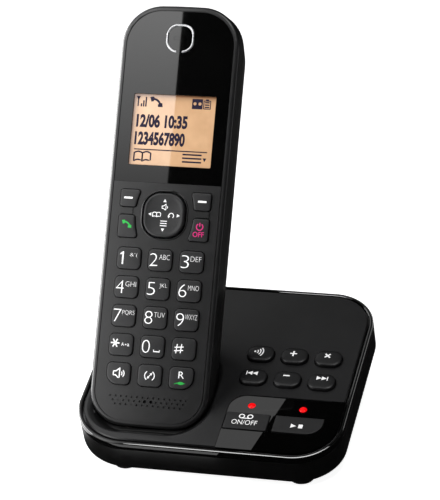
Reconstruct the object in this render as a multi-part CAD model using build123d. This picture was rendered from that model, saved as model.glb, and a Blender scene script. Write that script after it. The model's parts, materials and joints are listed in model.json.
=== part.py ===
from build123d import *
import math
import os

# Telephone answering machine: a cordless handset standing in the charging cradle of its base.
# Lengths are in millimetres and angles in degrees.
#
# Row frame: +Z up, the front faces -Y, the origin is under the middle of the whole object.
# Deck frame: the slab of the base. X to the right, Y back along the slab, Z square to its top,
#   with the origin at the middle of the slab's underside. The slab rises towards the back.
# Handset frame: X to the right, Y up the handset from its lower end, Z out of its face.

# ---------------------------------------------------------------- general fits
SEAT_GAP = 0.3  # running gap between pieces that move past each other
SEAM = 0.05  # gap round a piece that is glued or pressed in
SAME_HEIGHT = 0.01  # edges this close to a height lie at it
CUT = 200.0  # longer than the whole object, for cutting tools

# ---------------------------------------------------------------- handset: shells
HANDSET_LENGTH = 161.8
HANDSET_HALF = 23.35
HANDSET_LEAN = 43.1  # angle between the handset's length and the slab
HANDSET_WALL = 1.6
FRONT_DEPTH = 8.0  # depth of the front shell, from the face to the parting line
BACK_DEPTH = 18.5  # depth of the back shell behind the parting line
FACE_EDGE = 1.4  # rounding of the rim round the face
FACE_GROOVE = 0.3  # width of the line cut just inside that rim
GROOVE_DEPTH = 0.5
FOOT_CORNER = 13.5
HEAD_CORNER = 15.5
END_CROWN = 1.0  # how far the two ends bow out
BACK_STEPS = (0.0, 0.34, 0.58, 0.77, 0.92, 1.0)  # shares of the depth where the back has a section
BACK_ROUNDNESS = 2.2  # exponent of the superellipse that rounds the back
BACK_FLAT_HALF = 8.0  # half width of the flat left in the middle of the back
BACK_LOW_REACH = 30.0  # how far up the back's flat starts from the lower end
BACK_HIGH_REACH = 92.0  # how far down it ends from the upper end
LOW_CORNER_SHARE = 0.72  # largest corner of a section, as a share of its half width
HIGH_CORNER_SHARE = 0.8

# ---------------------------------------------------------------- handset: dial keys
KEY_WIDTH = 9.4
KEY_DEPTH = 8.2
KEY_CORNER = 1.9
OUTER_KEY_CORNER = 4.4  # the two lowest keys follow the handset's lower corners
KEY_PITCH_X = 12.4
KEY_PITCH_Y = 11.0
KEY_RISE = 0.8
KEY_TRAVEL = 0.6
KEY_FLANGE = 0.6  # how far the flange stands out under the face
FLANGE_THICK = 0.6
KEY_NUB = 0.6  # length of the plunger under the flange
KEY_PLUNGER = 3.0
KEY_CHAMFER = 0.3
BOTTOM_ROW = 19.7  # height of the lowest key row above the handset's lower end

# ---------------------------------------------------------------- handset: keys round the navigator
CLUSTER_GAP = 3.9  # from the top dial key to the talk and off keys
TALK_LENGTH = 8.6
TILE_LENGTH = 3.2  # from the talk key to the soft key
SOFT_LENGTH = 6.6
CLUSTER_OUTER = 17.9  # outer edge of these keys
CLUSTER_WAIST = 11.6  # their inner edge, where it is hollowed most
CLUSTER_ARC = 25.0  # radius of that hollow
CLUSTER_REACH = 4.0  # how far their inner corners stand in past the waist
CLUSTER_CORNER = 1.0
TILE_WIDTH = 4.8
TILE_RISE = 0.4
TILE_MARGIN = 0.5
TILE_INSET = 2.8
NAVIGATOR_WIDTH = 16.2
NAVIGATOR_DEPTH = 16.8
NAVIGATOR_CORNER = 6.6
NAVIGATOR_GAP = 0.6
NAVIGATOR_SKIRT = 1.9  # depth of its lower edge under the face
NAVIGATOR_CHAMFER = 0.5
DISH_RADIUS = 90.0
DISH_HALF = 6.8
PIVOT_RADIUS = 1.6
PIVOT_SOCKET = 0.4

# ---------------------------------------------------------------- handset: display and sound
PANEL_GAP = 3.0  # from the soft keys to the foot of the display panel
PANEL_HALF = 21.2
PANEL_THICK = 1.1
WINDOW_FOOT = 6.65  # from the panel's foot to the window
WINDOW_WIDTH = 32.7
WINDOW_DEPTH = 27.5
WINDOW_CORNER = 0.6
SCREEN_SINK = 0.5
SCREEN_THICK = 1.4
SCREEN_MARGIN = 1.2
EARPIECE_DROP = 12.6  # from the handset's upper end to the middle of the ring
EARPIECE_SIZE = 11.2
EARPIECE_CORNER = 4.4
EARPIECE_BAND = 0.8
EARPIECE_MOUTH = 2.2  # gap in the ring, at its foot
EARPIECE_RISE = 0.5
SOUND_SLOT = (5.0, 1.2)
EARPIECE_SPEAKER = (9.0, 3.2)  # radius and depth
RINGER = (8.0, 4.0)
RINGER_AT = 122.0
MICROPHONE = (2.0, 2.0)
MIC_AT = 9.8
MIC_PITCH = 2.5
MIC_HOLE = 0.6
CONTACT_HALF_SPACE = 8.0
CONTACT_WIDTH = 4.0
CONTACT_THICK = 2.0
CONTACT_MIDDLE = 1.2  # height of the handset's charge contacts above its lower end
CONTACT_SPAN = (-6.6, -3.0)  # their depths behind the face

# ---------------------------------------------------------------- handset: inside
MAT_THICK = 1.0
KEY_DOME = (4.0, 0.5)  # side and height of the dome under each key
MAT_EDGE = 0.9
HANDSET_BOARD_THICK = 1.0
HANDSET_BOARD_MARGINS = (12.0, 21.8)  # from the handset's lower and upper ends
HANDSET_BOARD_HALF = 19.0
COMPONENT_ROOM = 4.5  # between the board and the battery tray
CELL_RADIUS = 5.2
CELL_LENGTH = 44.5
CELL_SPACING = 10.9
CELL_AT = 71.0  # middle of the cells above the handset's lower end
CELL_PLAY = 1.6
TRAY_CLEAR = 0.2
TRAY_WALL = 1.2
SPRING = (6.0, 1.2, 7.0)
SPRING_GAP = 0.3
COVER_END = 5.25  # the battery cover reaches this far past the cells
COVER_SIDE = 1.95  # and this far past the tray's walls
COVER_CORNER = 3.0
COVER_LEDGE = 2.0
BOSS_HALF = 2.2
LOW_BOSSES = (16.0, 30.0)
HIGH_BOSSES = (15.0, 112.0)
HANDSET_SCREW = (0.9, 7.0)  # radius and length

# ---------------------------------------------------------------- base: slab, trim ring and cover
DECK_HEIGHT = 13.3
CRADLE_CORNER = 22.0  # front left corner, round the cradle
DECK_CORNER = 18.0  # the other three corners
DECK_TILT = 12.5
DECK_FRONT_LIFT = 2.0  # height of the slab's lower front edge above the table
SHELL_WALL = 1.8
SHELL_EDGE = 0.8  # rounding of the lower shell's bottom edge
COVER_THICK = 2.0
COVER_CHAMFER = 0.4
RING_BAND = 3.2  # height of the ring's outer face
RING_WIDTH = 1.5
RING_LEDGE = 4.0
RING_DROP = 0.3  # the ring's top lies this far under the deck's top
RING_GROOVE = 0.6

# ---------------------------------------------------------------- base: layout across, from the left
POCKET_MARGIN = 3.25  # from the slab's left side to the scoop
FINGER_ROOM = 1.15  # from the scoop's side to the handset
BUTTON_GAP = 6.75  # from the scoop to the buttons
BUTTON_PITCH_X = 13.3
BUTTON_WIDTH = 10.4
BUTTON_MARGIN = 7.8  # from the buttons to the slab's right side
PANEL_OVERLAP = 0.8  # the control panel starts this far left of the buttons
ANSWER_WIDTH = 16.7
RIB_WIDTH = 2.2
PLAY_WIDTH = 18.5

# ---------------------------------------------------------------- base: layout along, from the front
BAR_MARGIN = 12.3  # from the slab's front to the bar buttons
BAR_DEPTH = 8.4
LIGHT_GAP = 4.6  # from the bar buttons to the lights
PANEL_REACH = 5.2  # from the lights to the panel's back edge
BUTTON_FRONT_GAP = 5.0  # from the panel to the round buttons
BUTTON_DEPTH = 8.0
BUTTON_PITCH_Y = 12.9
SPEAKER_GAP = 2.4
SPEAKER_RADIUS = 13.0
SPEAKER_MARGIN = 5.8

# ---------------------------------------------------------------- base: cradle
POCKET_FRONT_MARGIN = 5.2
POCKET_LENGTH = 49.1
POCKET_CORNER = 16.0
POCKET_DEPTH = 5.0
POCKET_RUN = 6.2  # how far the scoop's walls run in as they go down
HANDSET_BACK_STEP = 7.66  # from the scoop's front to the handset's lower end
HANDSET_SINK = 4.3  # and how far that end sits under the deck
CRADLE_GAP = 0.35
CRADLE_WALL = 1.5
BULGE_WALL = 1.8
BULGE_GAP = 0.2
BASE_CONTACT = (3.0, 2.4, 3.0)

# ---------------------------------------------------------------- base: buttons and control panel
BUTTON_CORNER = 3.4
BUTTON_RISE = 1.6
BUTTON_TRAVEL = 1.2
BUTTON_FLANGE = 0.8
BUTTON_LIP = 0.7  # how far a round button's flange stands out
BUTTON_CHAMFER = 0.4
BUTTON_NUB = 0.8
BUTTON_DOME = (5.0, 4.0, 0.4)
BAR_RISE = 0.3
BAR_LIP = 0.5
BAR_CORNER = 0.6
BAR_CHAMFER = 0.15
PLAY_CORNER = 6.0
BAR_SIDE_GAP = 0.3
PANEL_THICKNESS = 0.9
PANEL_CORNER = 6.5
PANEL_SEAM = 0.15
PANEL_SINK = 0.35  # depth of the recess with the lights and the bar buttons
PANEL_RECESS_GAP = 0.6
LIGHT_RADIUS = 1.5
LIGHT_LENGTH = 2.6
LIGHT_RISE = 0.25

# ---------------------------------------------------------------- base: inside
BOARD_THICK = 1.6
BOARD_FRONT_MARGIN = 1.0
BOARD_LEFT_MARGIN = 3.1
BOARD_MARGIN = 0.5
BOARD_CORNER = 8.0
MAT_MARGIN = 1.0
POST_INSET = 5.5
POST_HALF = 2.2
SPEAKER_INSET = 29.9  # from the slab's right side to the loudspeaker's middle
SPEAKER_DEPTH = 7.0
SPEAKER_RIM = 2.4
SPEAKER_MAGNET = 8.0
SLOT = (12.0, 1.6)
SLOT_PITCH = 3.6
SLOT_COUNT = 5
SCREW_POST = 2.4
SCREW_ROOM = 0.3
CASE_SCREW = 1.3
SCREW_SINK = 0.4
REAR_SCREW_INSET = (11.9, 12.3)  # from the slab's sides and back
FRONT_SCREW_INSET = (5.65, 5.3)  # from the scoop's right side and the slab's front
SIDE_SCREW_INSET = (4.9, 3.0)  # from the slab's right side, and behind the lights

# ---------------------------------------------------------------- base: stand, feet and sockets
STAND_SIDE_INSET = 13.9
STAND_BACK_INSET = 7.3
STAND_DEPTH = 31.0
STAND_CORNER = 6.0
STAND_TOP = 40.0  # the stand's walls run up past here and are cut by the slab
FOOT_HEIGHT = 1.0
FOOT_RADIUS = 4.5
FRONT_FOOT_INSET = 7.0  # from the slab's front to the foot's middle
FRONT_FOOT_SIDES = (20.4, 15.1)  # from the slab's left and right sides
REAR_FOOT_INSET = (5.0, 6.0)  # from the stand's side and back
SOCKET_SPACE = 14.0  # from the middle to each socket
LINE_JACK = (13.0, 12.0, 9.5)
LINE_OPENING = (10.0, 10.5, 6.8)
POWER_JACK = (9.0, 12.0, 10.0)
POWER_BORE = (2.8, 9.5)
POWER_PIN = 0.65
POWER_PIN_TIP = 1.6  # how deep the pin's tip lies in the mouth
POWER_PIN_ROOT = 0.5  # how far the pin runs into the socket behind the bore

# ---------------------------------------------------------------- sizes that follow
pocket_width = 2 * (HANDSET_HALF + FINGER_ROOM)
button_block = 2 * BUTTON_PITCH_X + BUTTON_WIDTH
deck_width = POCKET_MARGIN + pocket_width + BUTTON_GAP + button_block + BUTTON_MARGIN
panel_depth = BAR_MARGIN + BAR_DEPTH + LIGHT_GAP + PANEL_REACH
button_rows_depth = BUTTON_FRONT_GAP + BUTTON_PITCH_Y + BUTTON_DEPTH
deck_depth = panel_depth + button_rows_depth + SPEAKER_GAP + 2 * SPEAKER_RADIUS + SPEAKER_MARGIN
deck_right = deck_width / 2
deck_back = deck_depth / 2
pocket_left = -deck_right + POCKET_MARGIN
pocket_right = pocket_left + pocket_width
pocket_front = -deck_back + POCKET_FRONT_MARGIN
button_left = pocket_right + BUTTON_GAP
button_columns = [button_left + BUTTON_WIDTH / 2 + step * BUTTON_PITCH_X for step in range(3)]
panel_left = button_left - PANEL_OVERLAP
panel_back = -deck_back + panel_depth
front_row = panel_back + BUTTON_FRONT_GAP + BUTTON_DEPTH / 2
button_rows = [front_row + BUTTON_PITCH_Y, front_row]
bar_front = -deck_back + BAR_MARGIN
bar_back = bar_front + BAR_DEPTH
answer_left = panel_left + BAR_SIDE_GAP
play_left = answer_left + ANSWER_WIDTH + RIB_WIDTH
play_right = play_left + PLAY_WIDTH
light_row = bar_back + LIGHT_GAP
speaker_at = (deck_right - SPEAKER_INSET, button_rows[0] + BUTTON_DEPTH / 2 + SPEAKER_GAP + SPEAKER_RADIUS)
dial_top = BOTTOM_ROW + 4 * KEY_PITCH_Y + KEY_DEPTH / 2
talk_low = dial_top + CLUSTER_GAP
talk_high = talk_low + TALK_LENGTH
soft_low = talk_high + TILE_LENGTH
soft_high = soft_low + SOFT_LENGTH
navigator_at = (talk_low + soft_high) / 2
panel_foot = soft_high + PANEL_GAP
window_at = panel_foot + WINDOW_FOOT + WINDOW_DEPTH / 2
earpiece_at = HANDSET_LENGTH - EARPIECE_DROP


def slab(width, depth, corner, low, high, at):
    """Upright block with rounded corners between two heights."""
    return Pos(at[0], at[1], low) * extrude(RectangleRounded(width, depth, corner), high - low)


def plate(width, depth, low, high, at):
    """Upright block with square corners between two heights."""
    return Pos(at[0], at[1], (low + high) / 2) * Box(width, depth, high - low)


def spread(plan, by):
    """Plan outline grown or shrunk by an even margin, with its corners kept round."""
    return offset(plan, by, kind=Kind.ARC)


def rim(solid, height):
    """Edges that lie at one height of a solid."""
    return solid.edges().filter_by(lambda edge: abs(edge.center().Z - height) < SAME_HEIGHT)


def rod(at, radius, low, high):
    """Upright cylinder between two heights."""
    return Pos(at[0], at[1], (low + high) / 2) * Cylinder(radius, high - low)


def post(at, half, low, high):
    """Upright square post between two heights."""
    return Pos(at[0], at[1], (low + high) / 2) * Box(2 * half, 2 * half, high - low)


# ================================================================ handset skin

def handset_outline(half, low, high, low_corner, high_corner):
    """Plan of the handset: straight sides, crowned ends and rounded corners."""
    crown = END_CROWN * (half / HANDSET_HALF) ** 2
    with BuildSketch() as plan:
        with BuildLine():
            Line((-half, low + crown), (-half, high - crown))
            ThreePointArc((-half, high - crown), (0, high), (half, high - crown))
            Line((half, high - crown), (half, low + crown))
            ThreePointArc((half, low + crown), (0, low), (-half, low + crown))
        make_face()
        fillet(plan.vertices().group_by(Axis.Y)[0], low_corner)
        fillet(plan.vertices().group_by(Axis.Y)[-1], high_corner)
    return plan.sketch


def face_plan(inset):
    """Outline of the face, drawn in by an even margin."""
    return handset_outline(
        HANDSET_HALF - inset, inset, HANDSET_LENGTH - inset, FOOT_CORNER - inset, HEAD_CORNER - inset
    )


def back_section(step, grow):
    """Outline of the back shell at a share of its depth: it narrows as a superellipse does."""
    bulge = (1 - step ** BACK_ROUNDNESS) ** (1 / BACK_ROUNDNESS)
    half = BACK_FLAT_HALF + (HANDSET_HALF - BACK_FLAT_HALF) * bulge + grow
    low = BACK_LOW_REACH * (1 - bulge) - grow
    high = HANDSET_LENGTH - BACK_HIGH_REACH * (1 - bulge) + grow
    low_corner = min(FOOT_CORNER + grow, LOW_CORNER_SHARE * half)
    high_corner = min(HEAD_CORNER + grow, HIGH_CORNER_SHARE * half)
    depth = FRONT_DEPTH + (BACK_DEPTH + grow) * step
    return Pos(0, 0, -depth) * handset_outline(half, low, high, low_corner, high_corner)


def handset_back(grow):
    """Back of the handset: short straight runs between its sections, down to the flat."""
    return loft([back_section(step, grow) for step in BACK_STEPS], ruled=True)


def handset_front(grow, top=0.0):
    """Front of the handset down to the parting line, with straight sides."""
    return Pos(0, 0, -FRONT_DEPTH) * extrude(face_plan(-grow), FRONT_DEPTH + top)


handset_hollow_front = handset_front(-HANDSET_WALL, -HANDSET_WALL)
handset_hollow_back = handset_back(-HANDSET_WALL)

# ================================================================ key plans


def dial_key_plan(big_corner=None):
    """Square-shouldered key; its lower left or lower right corner may be rounded more than the rest."""
    with BuildSketch() as plan:
        Rectangle(KEY_WIDTH, KEY_DEPTH)
        corners = plan.vertices().sort_by(Axis.Y)
        low = corners[:2].sort_by(Axis.X)
        if big_corner is None:
            fillet(corners, KEY_CORNER)
        else:
            big = low[0] if big_corner == "left" else low[-1]
            fillet([corner for corner in corners if corner is not big], KEY_CORNER)
            end = plan.vertices().group_by(Axis.Y)[0].sort_by(Axis.X)
            fillet(end[0] if big_corner == "left" else end[-1], OUTER_KEY_CORNER)
    return plan.sketch


def cluster_key_plan(low, high, side):
    """Key beside the navigator: straight outside, hollow inside, clear of the round key."""
    inner = CLUSTER_WAIST - CLUSTER_REACH
    with BuildSketch() as plan:
        with Locations((side * (CLUSTER_OUTER + inner) / 2, (low + high) / 2)):
            Rectangle(CLUSTER_OUTER - inner, high - low)
        with Locations((side * (CLUSTER_WAIST - CLUSTER_ARC), navigator_at)):
            Circle(CLUSTER_ARC, mode=Mode.SUBTRACT)
        fillet(plan.vertices(), CLUSTER_CORNER)
    return plan.sketch


navigator_plan = Pos(0, navigator_at) * RectangleRounded(NAVIGATOR_WIDTH, NAVIGATOR_DEPTH, NAVIGATOR_CORNER)

DIAL_KEYS = (
    ("key_speaker", "key_intercom", "key_recall"),
    ("key_star", "key_0", "key_hash"),
    ("key_7", "key_8", "key_9"),
    ("key_4", "key_5", "key_6"),
    ("key_1", "key_2", "key_3"),
)
BIG_CORNERS = {"key_speaker": "left", "key_recall": "right"}
key_plans = {}
for row, names in enumerate(DIAL_KEYS):
    for column, name in enumerate(names):
        at = Pos((column - 1) * KEY_PITCH_X, BOTTOM_ROW + row * KEY_PITCH_Y)
        key_plans[name] = at * dial_key_plan(BIG_CORNERS.get(name))
key_plans["soft_key_left"] = cluster_key_plan(soft_low, soft_high, -1)
key_plans["soft_key_right"] = cluster_key_plan(soft_low, soft_high, 1)
key_plans["talk_key"] = cluster_key_plan(talk_low, talk_high, -1)
key_plans["off_key"] = cluster_key_plan(talk_low, talk_high, 1)

# heights inside the handset, from the face down
key_flange_top = -HANDSET_WALL - SEAT_GAP
key_underside = key_flange_top - FLANGE_THICK - KEY_NUB
key_dome_top = key_underside - KEY_TRAVEL - SEAT_GAP
key_mat_top = key_dome_top - KEY_DOME[1]
handset_board_top = key_mat_top - MAT_THICK
handset_board_back = handset_board_top - HANDSET_BOARD_THICK
tray_floor = handset_board_back - COMPONENT_ROOM - TRAY_WALL
cell_axis = tray_floor - TRAY_CLEAR - CELL_RADIUS


def square_flange(plan, lip):
    """Rectangle round a plan, wider by a lip."""
    size = plan.bounding_box().size
    middle = plan.center(CenterOf.BOUNDING_BOX)
    return Pos(middle.X, middle.Y) * Rectangle(size.X + 2 * lip, size.Y + 2 * lip)


def pressed_key(plan, rise, flange_plan, flange_top, thick, underside, edge):
    """Key or button: a cap that comes up through the cover, a flange that holds it in, and a plunger."""
    middle = plan.center(CenterOf.BOUNDING_BOX)
    cap = Pos(0, 0, flange_top) * extrude(plan, rise - flange_top)
    cap = chamfer(rim(cap, rise), edge)
    cap += Pos(0, 0, flange_top - thick) * extrude(flange_plan, thick)
    cap += Pos(middle.X, middle.Y, underside) * extrude(
        Rectangle(KEY_PLUNGER, KEY_PLUNGER), flange_top - thick - underside
    )
    return cap


handset_parts = {}
for name, plan in key_plans.items():
    beside_navigator = name in ("soft_key_left", "soft_key_right", "talk_key", "off_key")
    flange_plan = spread(plan, KEY_FLANGE) if beside_navigator else square_flange(plan, KEY_FLANGE)
    handset_parts[name] = pressed_key(
        plan, KEY_RISE, flange_plan, key_flange_top, FLANGE_THICK, key_underside, KEY_CHAMFER
    )

# ---------------------------------------------------------------- navigator: a dished rocker on a pin
navigator = Pos(0, 0, -NAVIGATOR_SKIRT) * extrude(navigator_plan, KEY_RISE + NAVIGATOR_SKIRT)
navigator = chamfer(rim(navigator, KEY_RISE), NAVIGATOR_CHAMFER)
dish_height = math.sqrt(DISH_RADIUS ** 2 - DISH_HALF ** 2)
navigator -= Pos(0, navigator_at, KEY_RISE + dish_height) * Sphere(DISH_RADIUS)
navigator -= rod((0, navigator_at), PIVOT_RADIUS + SEAT_GAP, -NAVIGATOR_SKIRT - PIVOT_SOCKET,
                 -NAVIGATOR_SKIRT + PIVOT_SOCKET)
handset_parts["navigator_key"] = navigator
handset_parts["navigator_pivot"] = rod(
    (0, navigator_at), PIVOT_RADIUS, key_mat_top + SEAT_GAP, -NAVIGATOR_SKIRT + PIVOT_SOCKET - SEAT_GAP
)

# ================================================================ handset front shell
panel_plan = face_plan(HANDSET_HALF - PANEL_HALF)
panel_plan -= Pos(0, panel_foot - CUT / 2) * Rectangle(CUT, CUT)
window_plan = Pos(0, window_at) * RectangleRounded(WINDOW_WIDTH, WINDOW_DEPTH, WINDOW_CORNER)
groove_plan = face_plan(HANDSET_HALF - PANEL_HALF - FACE_GROOVE) - face_plan(HANDSET_HALF - PANEL_HALF)
sound_slot = Pos(0, earpiece_at, 0) * Box(*SOUND_SLOT, 2 * FRONT_DEPTH)

front_shell = handset_front(0)
front_shell = fillet(rim(front_shell, 0), FACE_EDGE)
front_shell -= handset_hollow_front
front_shell -= Pos(0, 0, -PANEL_THICK) * extrude(panel_plan, 2 * PANEL_THICK)
front_shell -= Pos(0, 0, -GROOVE_DEPTH) * extrude(groove_plan, 2 * GROOVE_DEPTH)
through_face = [window_plan, spread(navigator_plan, NAVIGATOR_GAP)]
through_face += [spread(plan, SEAT_GAP) for plan in key_plans.values()]
for plan in through_face:
    front_shell -= Pos(0, 0, -FRONT_DEPTH) * extrude(plan, 2 * FRONT_DEPTH)
tile_low = talk_high + TILE_MARGIN
tile_high = soft_low - TILE_MARGIN
for side in (-1, 1):
    tile_at = (side * (CLUSTER_OUTER - TILE_INSET), (tile_low + tile_high) / 2)
    front_shell += Pos(*tile_at, (TILE_RISE - HANDSET_WALL) / 2) * Box(
        TILE_WIDTH, tile_high - tile_low, TILE_RISE + HANDSET_WALL
    )
    front_shell -= rod((side * MIC_PITCH / 2, MIC_AT), MIC_HOLE, -FRONT_DEPTH, FRONT_DEPTH)
front_shell -= sound_slot
contact_middle = sum(CONTACT_SPAN) / 2
handset_contacts = []
for side in (-1, 1):
    pad = Pos(side * CONTACT_HALF_SPACE, CONTACT_MIDDLE, contact_middle) * Box(
        CONTACT_WIDTH, CONTACT_THICK, CONTACT_SPAN[1] - CONTACT_SPAN[0]
    )
    front_shell -= pad
    handset_contacts.append(pad)
handset_parts["handset_front_shell"] = front_shell
handset_parts["handset_charge_contacts"] = Compound(handset_contacts)

# ---------------------------------------------------------------- display panel, screen and earpiece ring
display_panel = Pos(0, 0, -PANEL_THICK) * extrude(spread(panel_plan, -SEAM), PANEL_THICK)
display_panel -= Pos(0, 0, -FRONT_DEPTH) * extrude(window_plan, 2 * FRONT_DEPTH)
display_panel -= sound_slot
handset_parts["display_panel"] = display_panel
screen = Pos(0, 0, -HANDSET_WALL) * extrude(spread(window_plan, -SEAM), HANDSET_WALL - SCREEN_SINK)
screen += plate(WINDOW_WIDTH + 2 * SCREEN_MARGIN, WINDOW_DEPTH + 2 * SCREEN_MARGIN,
                -HANDSET_WALL - SCREEN_THICK, -HANDSET_WALL, (0, window_at))
handset_parts["lcd_screen"] = screen
ring_plan = Pos(0, earpiece_at) * RectangleRounded(EARPIECE_SIZE, EARPIECE_SIZE, EARPIECE_CORNER)
ring_plan -= spread(ring_plan, -EARPIECE_BAND)
ring_plan -= Pos(0, earpiece_at - EARPIECE_SIZE / 2) * Rectangle(EARPIECE_MOUTH, EARPIECE_SIZE / 2)
handset_parts["earpiece_ring"] = extrude(ring_plan, EARPIECE_RISE)

# ---------------------------------------------------------------- inside the handset
handset_parts["earpiece_speaker"] = rod(
    (0, earpiece_at), EARPIECE_SPEAKER[0], -HANDSET_WALL - EARPIECE_SPEAKER[1], -HANDSET_WALL
)
handset_parts["microphone"] = rod((0, MIC_AT), MICROPHONE[0], -HANDSET_WALL - MICROPHONE[1], -HANDSET_WALL)
mat_low = BOTTOM_ROW - KEY_DEPTH / 2 - MAT_EDGE
mat_high = soft_high + MAT_EDGE
mat_width = 2 * CLUSTER_OUTER + MAT_EDGE
mat_at = (0, (mat_low + mat_high) / 2)
key_mat = plate(mat_width, mat_high - mat_low, handset_board_top, key_mat_top, mat_at)
for plan in key_plans.values():
    middle = plan.center(CenterOf.BOUNDING_BOX)
    key_mat += post((middle.X, middle.Y), KEY_DOME[0] / 2, key_mat_top, key_dome_top)
handset_parts["key_mat"] = key_mat
handset_board_low = HANDSET_BOARD_MARGINS[0]
handset_board_high = HANDSET_LENGTH - HANDSET_BOARD_MARGINS[1]
handset_parts["handset_circuit_board"] = plate(
    2 * HANDSET_BOARD_HALF, handset_board_high - handset_board_low,
    handset_board_back, handset_board_top, (0, (handset_board_low + handset_board_high) / 2)
)
handset_parts["ringer_speaker"] = rod(
    (0, RINGER_AT), RINGER[0], handset_board_back - RINGER[1], handset_board_back
)

# ================================================================ handset back shell, tray and cover


def back_column(plan):
    """Everything straight behind a plan, from half way into the back shell."""
    return Pos(0, 0, -CUT) * extrude(plan, CUT - FRONT_DEPTH - BACK_DEPTH / 2)


tray_half = CELL_SPACING / 2 + CELL_RADIUS + TRAY_CLEAR
tray_length = CELL_LENGTH + 2 * CELL_PLAY
cover_plan = Pos(0, CELL_AT) * RectangleRounded(
    2 * (tray_half + TRAY_WALL + COVER_SIDE), CELL_LENGTH + 2 * COVER_END, COVER_CORNER
)
tray_room = Pos(0, CELL_AT, tray_floor - CUT / 2) * Box(2 * tray_half, tray_length, CUT)
tray_block = Pos(0, CELL_AT, tray_floor + TRAY_WALL - CUT / 2) * Box(
    2 * (tray_half + TRAY_WALL), tray_length + 2 * TRAY_WALL, CUT
)
back_solid = handset_back(0)
back_ledge = handset_back(-2 * HANDSET_WALL)
back_shell = back_solid - handset_hollow_back
back_shell -= back_column(spread(cover_plan, SEAT_GAP))
back_shell += (handset_hollow_back - back_ledge) & back_column(spread(cover_plan, COVER_LEDGE))
back_shell += tray_block & handset_hollow_back
back_shell -= tray_room
cover_skin = back_solid - handset_back(SEAT_GAP - HANDSET_WALL)
handset_parts["battery_cover"] = cover_skin & back_column(cover_plan)
handset_screws = []
for half, height in (LOW_BOSSES, HIGH_BOSSES):
    for side in (-1, 1):
        at = (side * half, height)
        back_shell += post(at, BOSS_HALF, handset_board_back - CUT, handset_board_back) & back_solid
        screw = rod(at, HANDSET_SCREW[0], handset_board_back - HANDSET_SCREW[1], handset_board_back)
        back_shell -= screw
        handset_screws.append(screw)
handset_parts["handset_back_shell"] = back_shell
handset_parts["handset_screws"] = Compound(handset_screws)

cells = []
springs = []
for side in (-1, 1):
    axis_x = side * CELL_SPACING / 2
    cells.append(Pos(axis_x, CELL_AT, cell_axis) * Rot(90, 0, 0) * Cylinder(CELL_RADIUS, CELL_LENGTH))
    for end in (-1, 1):
        spring_at = CELL_AT + end * (CELL_LENGTH / 2 + SPRING_GAP + SPRING[1] / 2)
        springs.append(Pos(axis_x, spring_at, cell_axis) * Box(*SPRING))
handset_parts["battery_cells"] = Compound(cells)
handset_parts["battery_contacts"] = Compound(springs)

# ================================================================ base: shapes in the deck frame
shell_height = DECK_HEIGHT - RING_DROP - RING_BAND
cover_under = DECK_HEIGHT - COVER_THICK
cover_inset = RING_WIDTH + RING_GROOVE
scoop_low = DECK_HEIGHT - POCKET_DEPTH
pocket_middle = ((pocket_left + pocket_right) / 2, pocket_front + POCKET_LENGTH / 2)
handset_at = (pocket_middle[0], pocket_front + HANDSET_BACK_STEP, DECK_HEIGHT - HANDSET_SINK)
docked = Location(handset_at, (HANDSET_LEAN, 0, 0))


def deck_plan(inset):
    """Plan of the slab with its corners, drawn in by an even margin."""
    with BuildSketch() as plan:
        Rectangle(deck_width - 2 * inset, deck_depth - 2 * inset)
        corners = plan.vertices()
        cradle = corners.group_by(Axis.Y)[0].sort_by(Axis.X)[0]
        fillet([corner for corner in corners if corner != cradle], DECK_CORNER - inset)
        ends = plan.vertices().group_by(Axis.Y)[0].sort_by(Axis.X)
        fillet(ends[0], CRADLE_CORNER - inset)
    return plan.sketch


def pocket_section(grow, run):
    """Outline of the scoop, grown by an even margin and drawn in by its run."""
    return Pos(*pocket_middle) * RectangleRounded(
        pocket_width + 2 * (grow - run), POCKET_LENGTH + 2 * (grow - run), POCKET_CORNER + grow - run
    )


def pocket(grow, low):
    """Scoop in front of the docked handset: wide at the deck, running in as it goes down."""
    run = POCKET_RUN * (DECK_HEIGHT - low) / POCKET_DEPTH
    bottom = Pos(0, 0, low) * pocket_section(grow, run)
    top = Pos(0, 0, DECK_HEIGHT) * pocket_section(grow, 0)
    return loft([bottom, top])


def below(solid, height):
    """What lies under a height of the deck frame."""
    return solid & Pos(0, 0, height - CUT / 2) * Box(CUT, CUT, CUT)


def handset_envelope(grow):
    """The docked handset, grown by an even margin, in the deck frame."""
    return docked * (handset_front(grow, grow) + handset_back(grow))


cradle_room = handset_envelope(CRADLE_GAP)
cradle_block = handset_envelope(CRADLE_GAP + CRADLE_WALL)
scoop_room = pocket(0, scoop_low)
scoop_block = pocket(CRADLE_WALL, scoop_low - CRADLE_WALL)

# ---------------------------------------------------------------- buttons of the base
BUTTON_NAMES = (
    ("locator_button", "volume_up_button", "erase_button"),
    ("skip_back_button", "volume_down_button", "skip_forward_button"),
)
button_plans = {}
for row, names in zip(button_rows, BUTTON_NAMES):
    for column, name in zip(button_columns, names):
        button_plans[name] = Pos(column, row) * RectangleRounded(BUTTON_WIDTH, BUTTON_DEPTH, BUTTON_CORNER)

bar_at = (bar_front + bar_back) / 2
with BuildSketch() as play_shape:
    with Locations(((play_left + play_right) / 2, bar_at)):
        Rectangle(PLAY_WIDTH, BAR_DEPTH)
    fillet(play_shape.vertices().group_by(Axis.Y)[0].sort_by(Axis.X)[-1], PLAY_CORNER)
bar_plans = {
    "answer_button": Pos(answer_left + ANSWER_WIDTH / 2, bar_at) * RectangleRounded(
        ANSWER_WIDTH, BAR_DEPTH, BAR_CORNER
    ),
    "play_button": play_shape.sketch,
}

# heights inside the base, from the cover down
button_flange_top = cover_under - SEAT_GAP
button_underside = button_flange_top - BUTTON_FLANGE - BUTTON_NUB
button_dome_top = button_underside - BUTTON_TRAVEL - SEAT_GAP
button_mat_top = button_dome_top - BUTTON_DOME[2]
board_top = button_mat_top - MAT_THICK
board_under = board_top - BOARD_THICK

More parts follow.
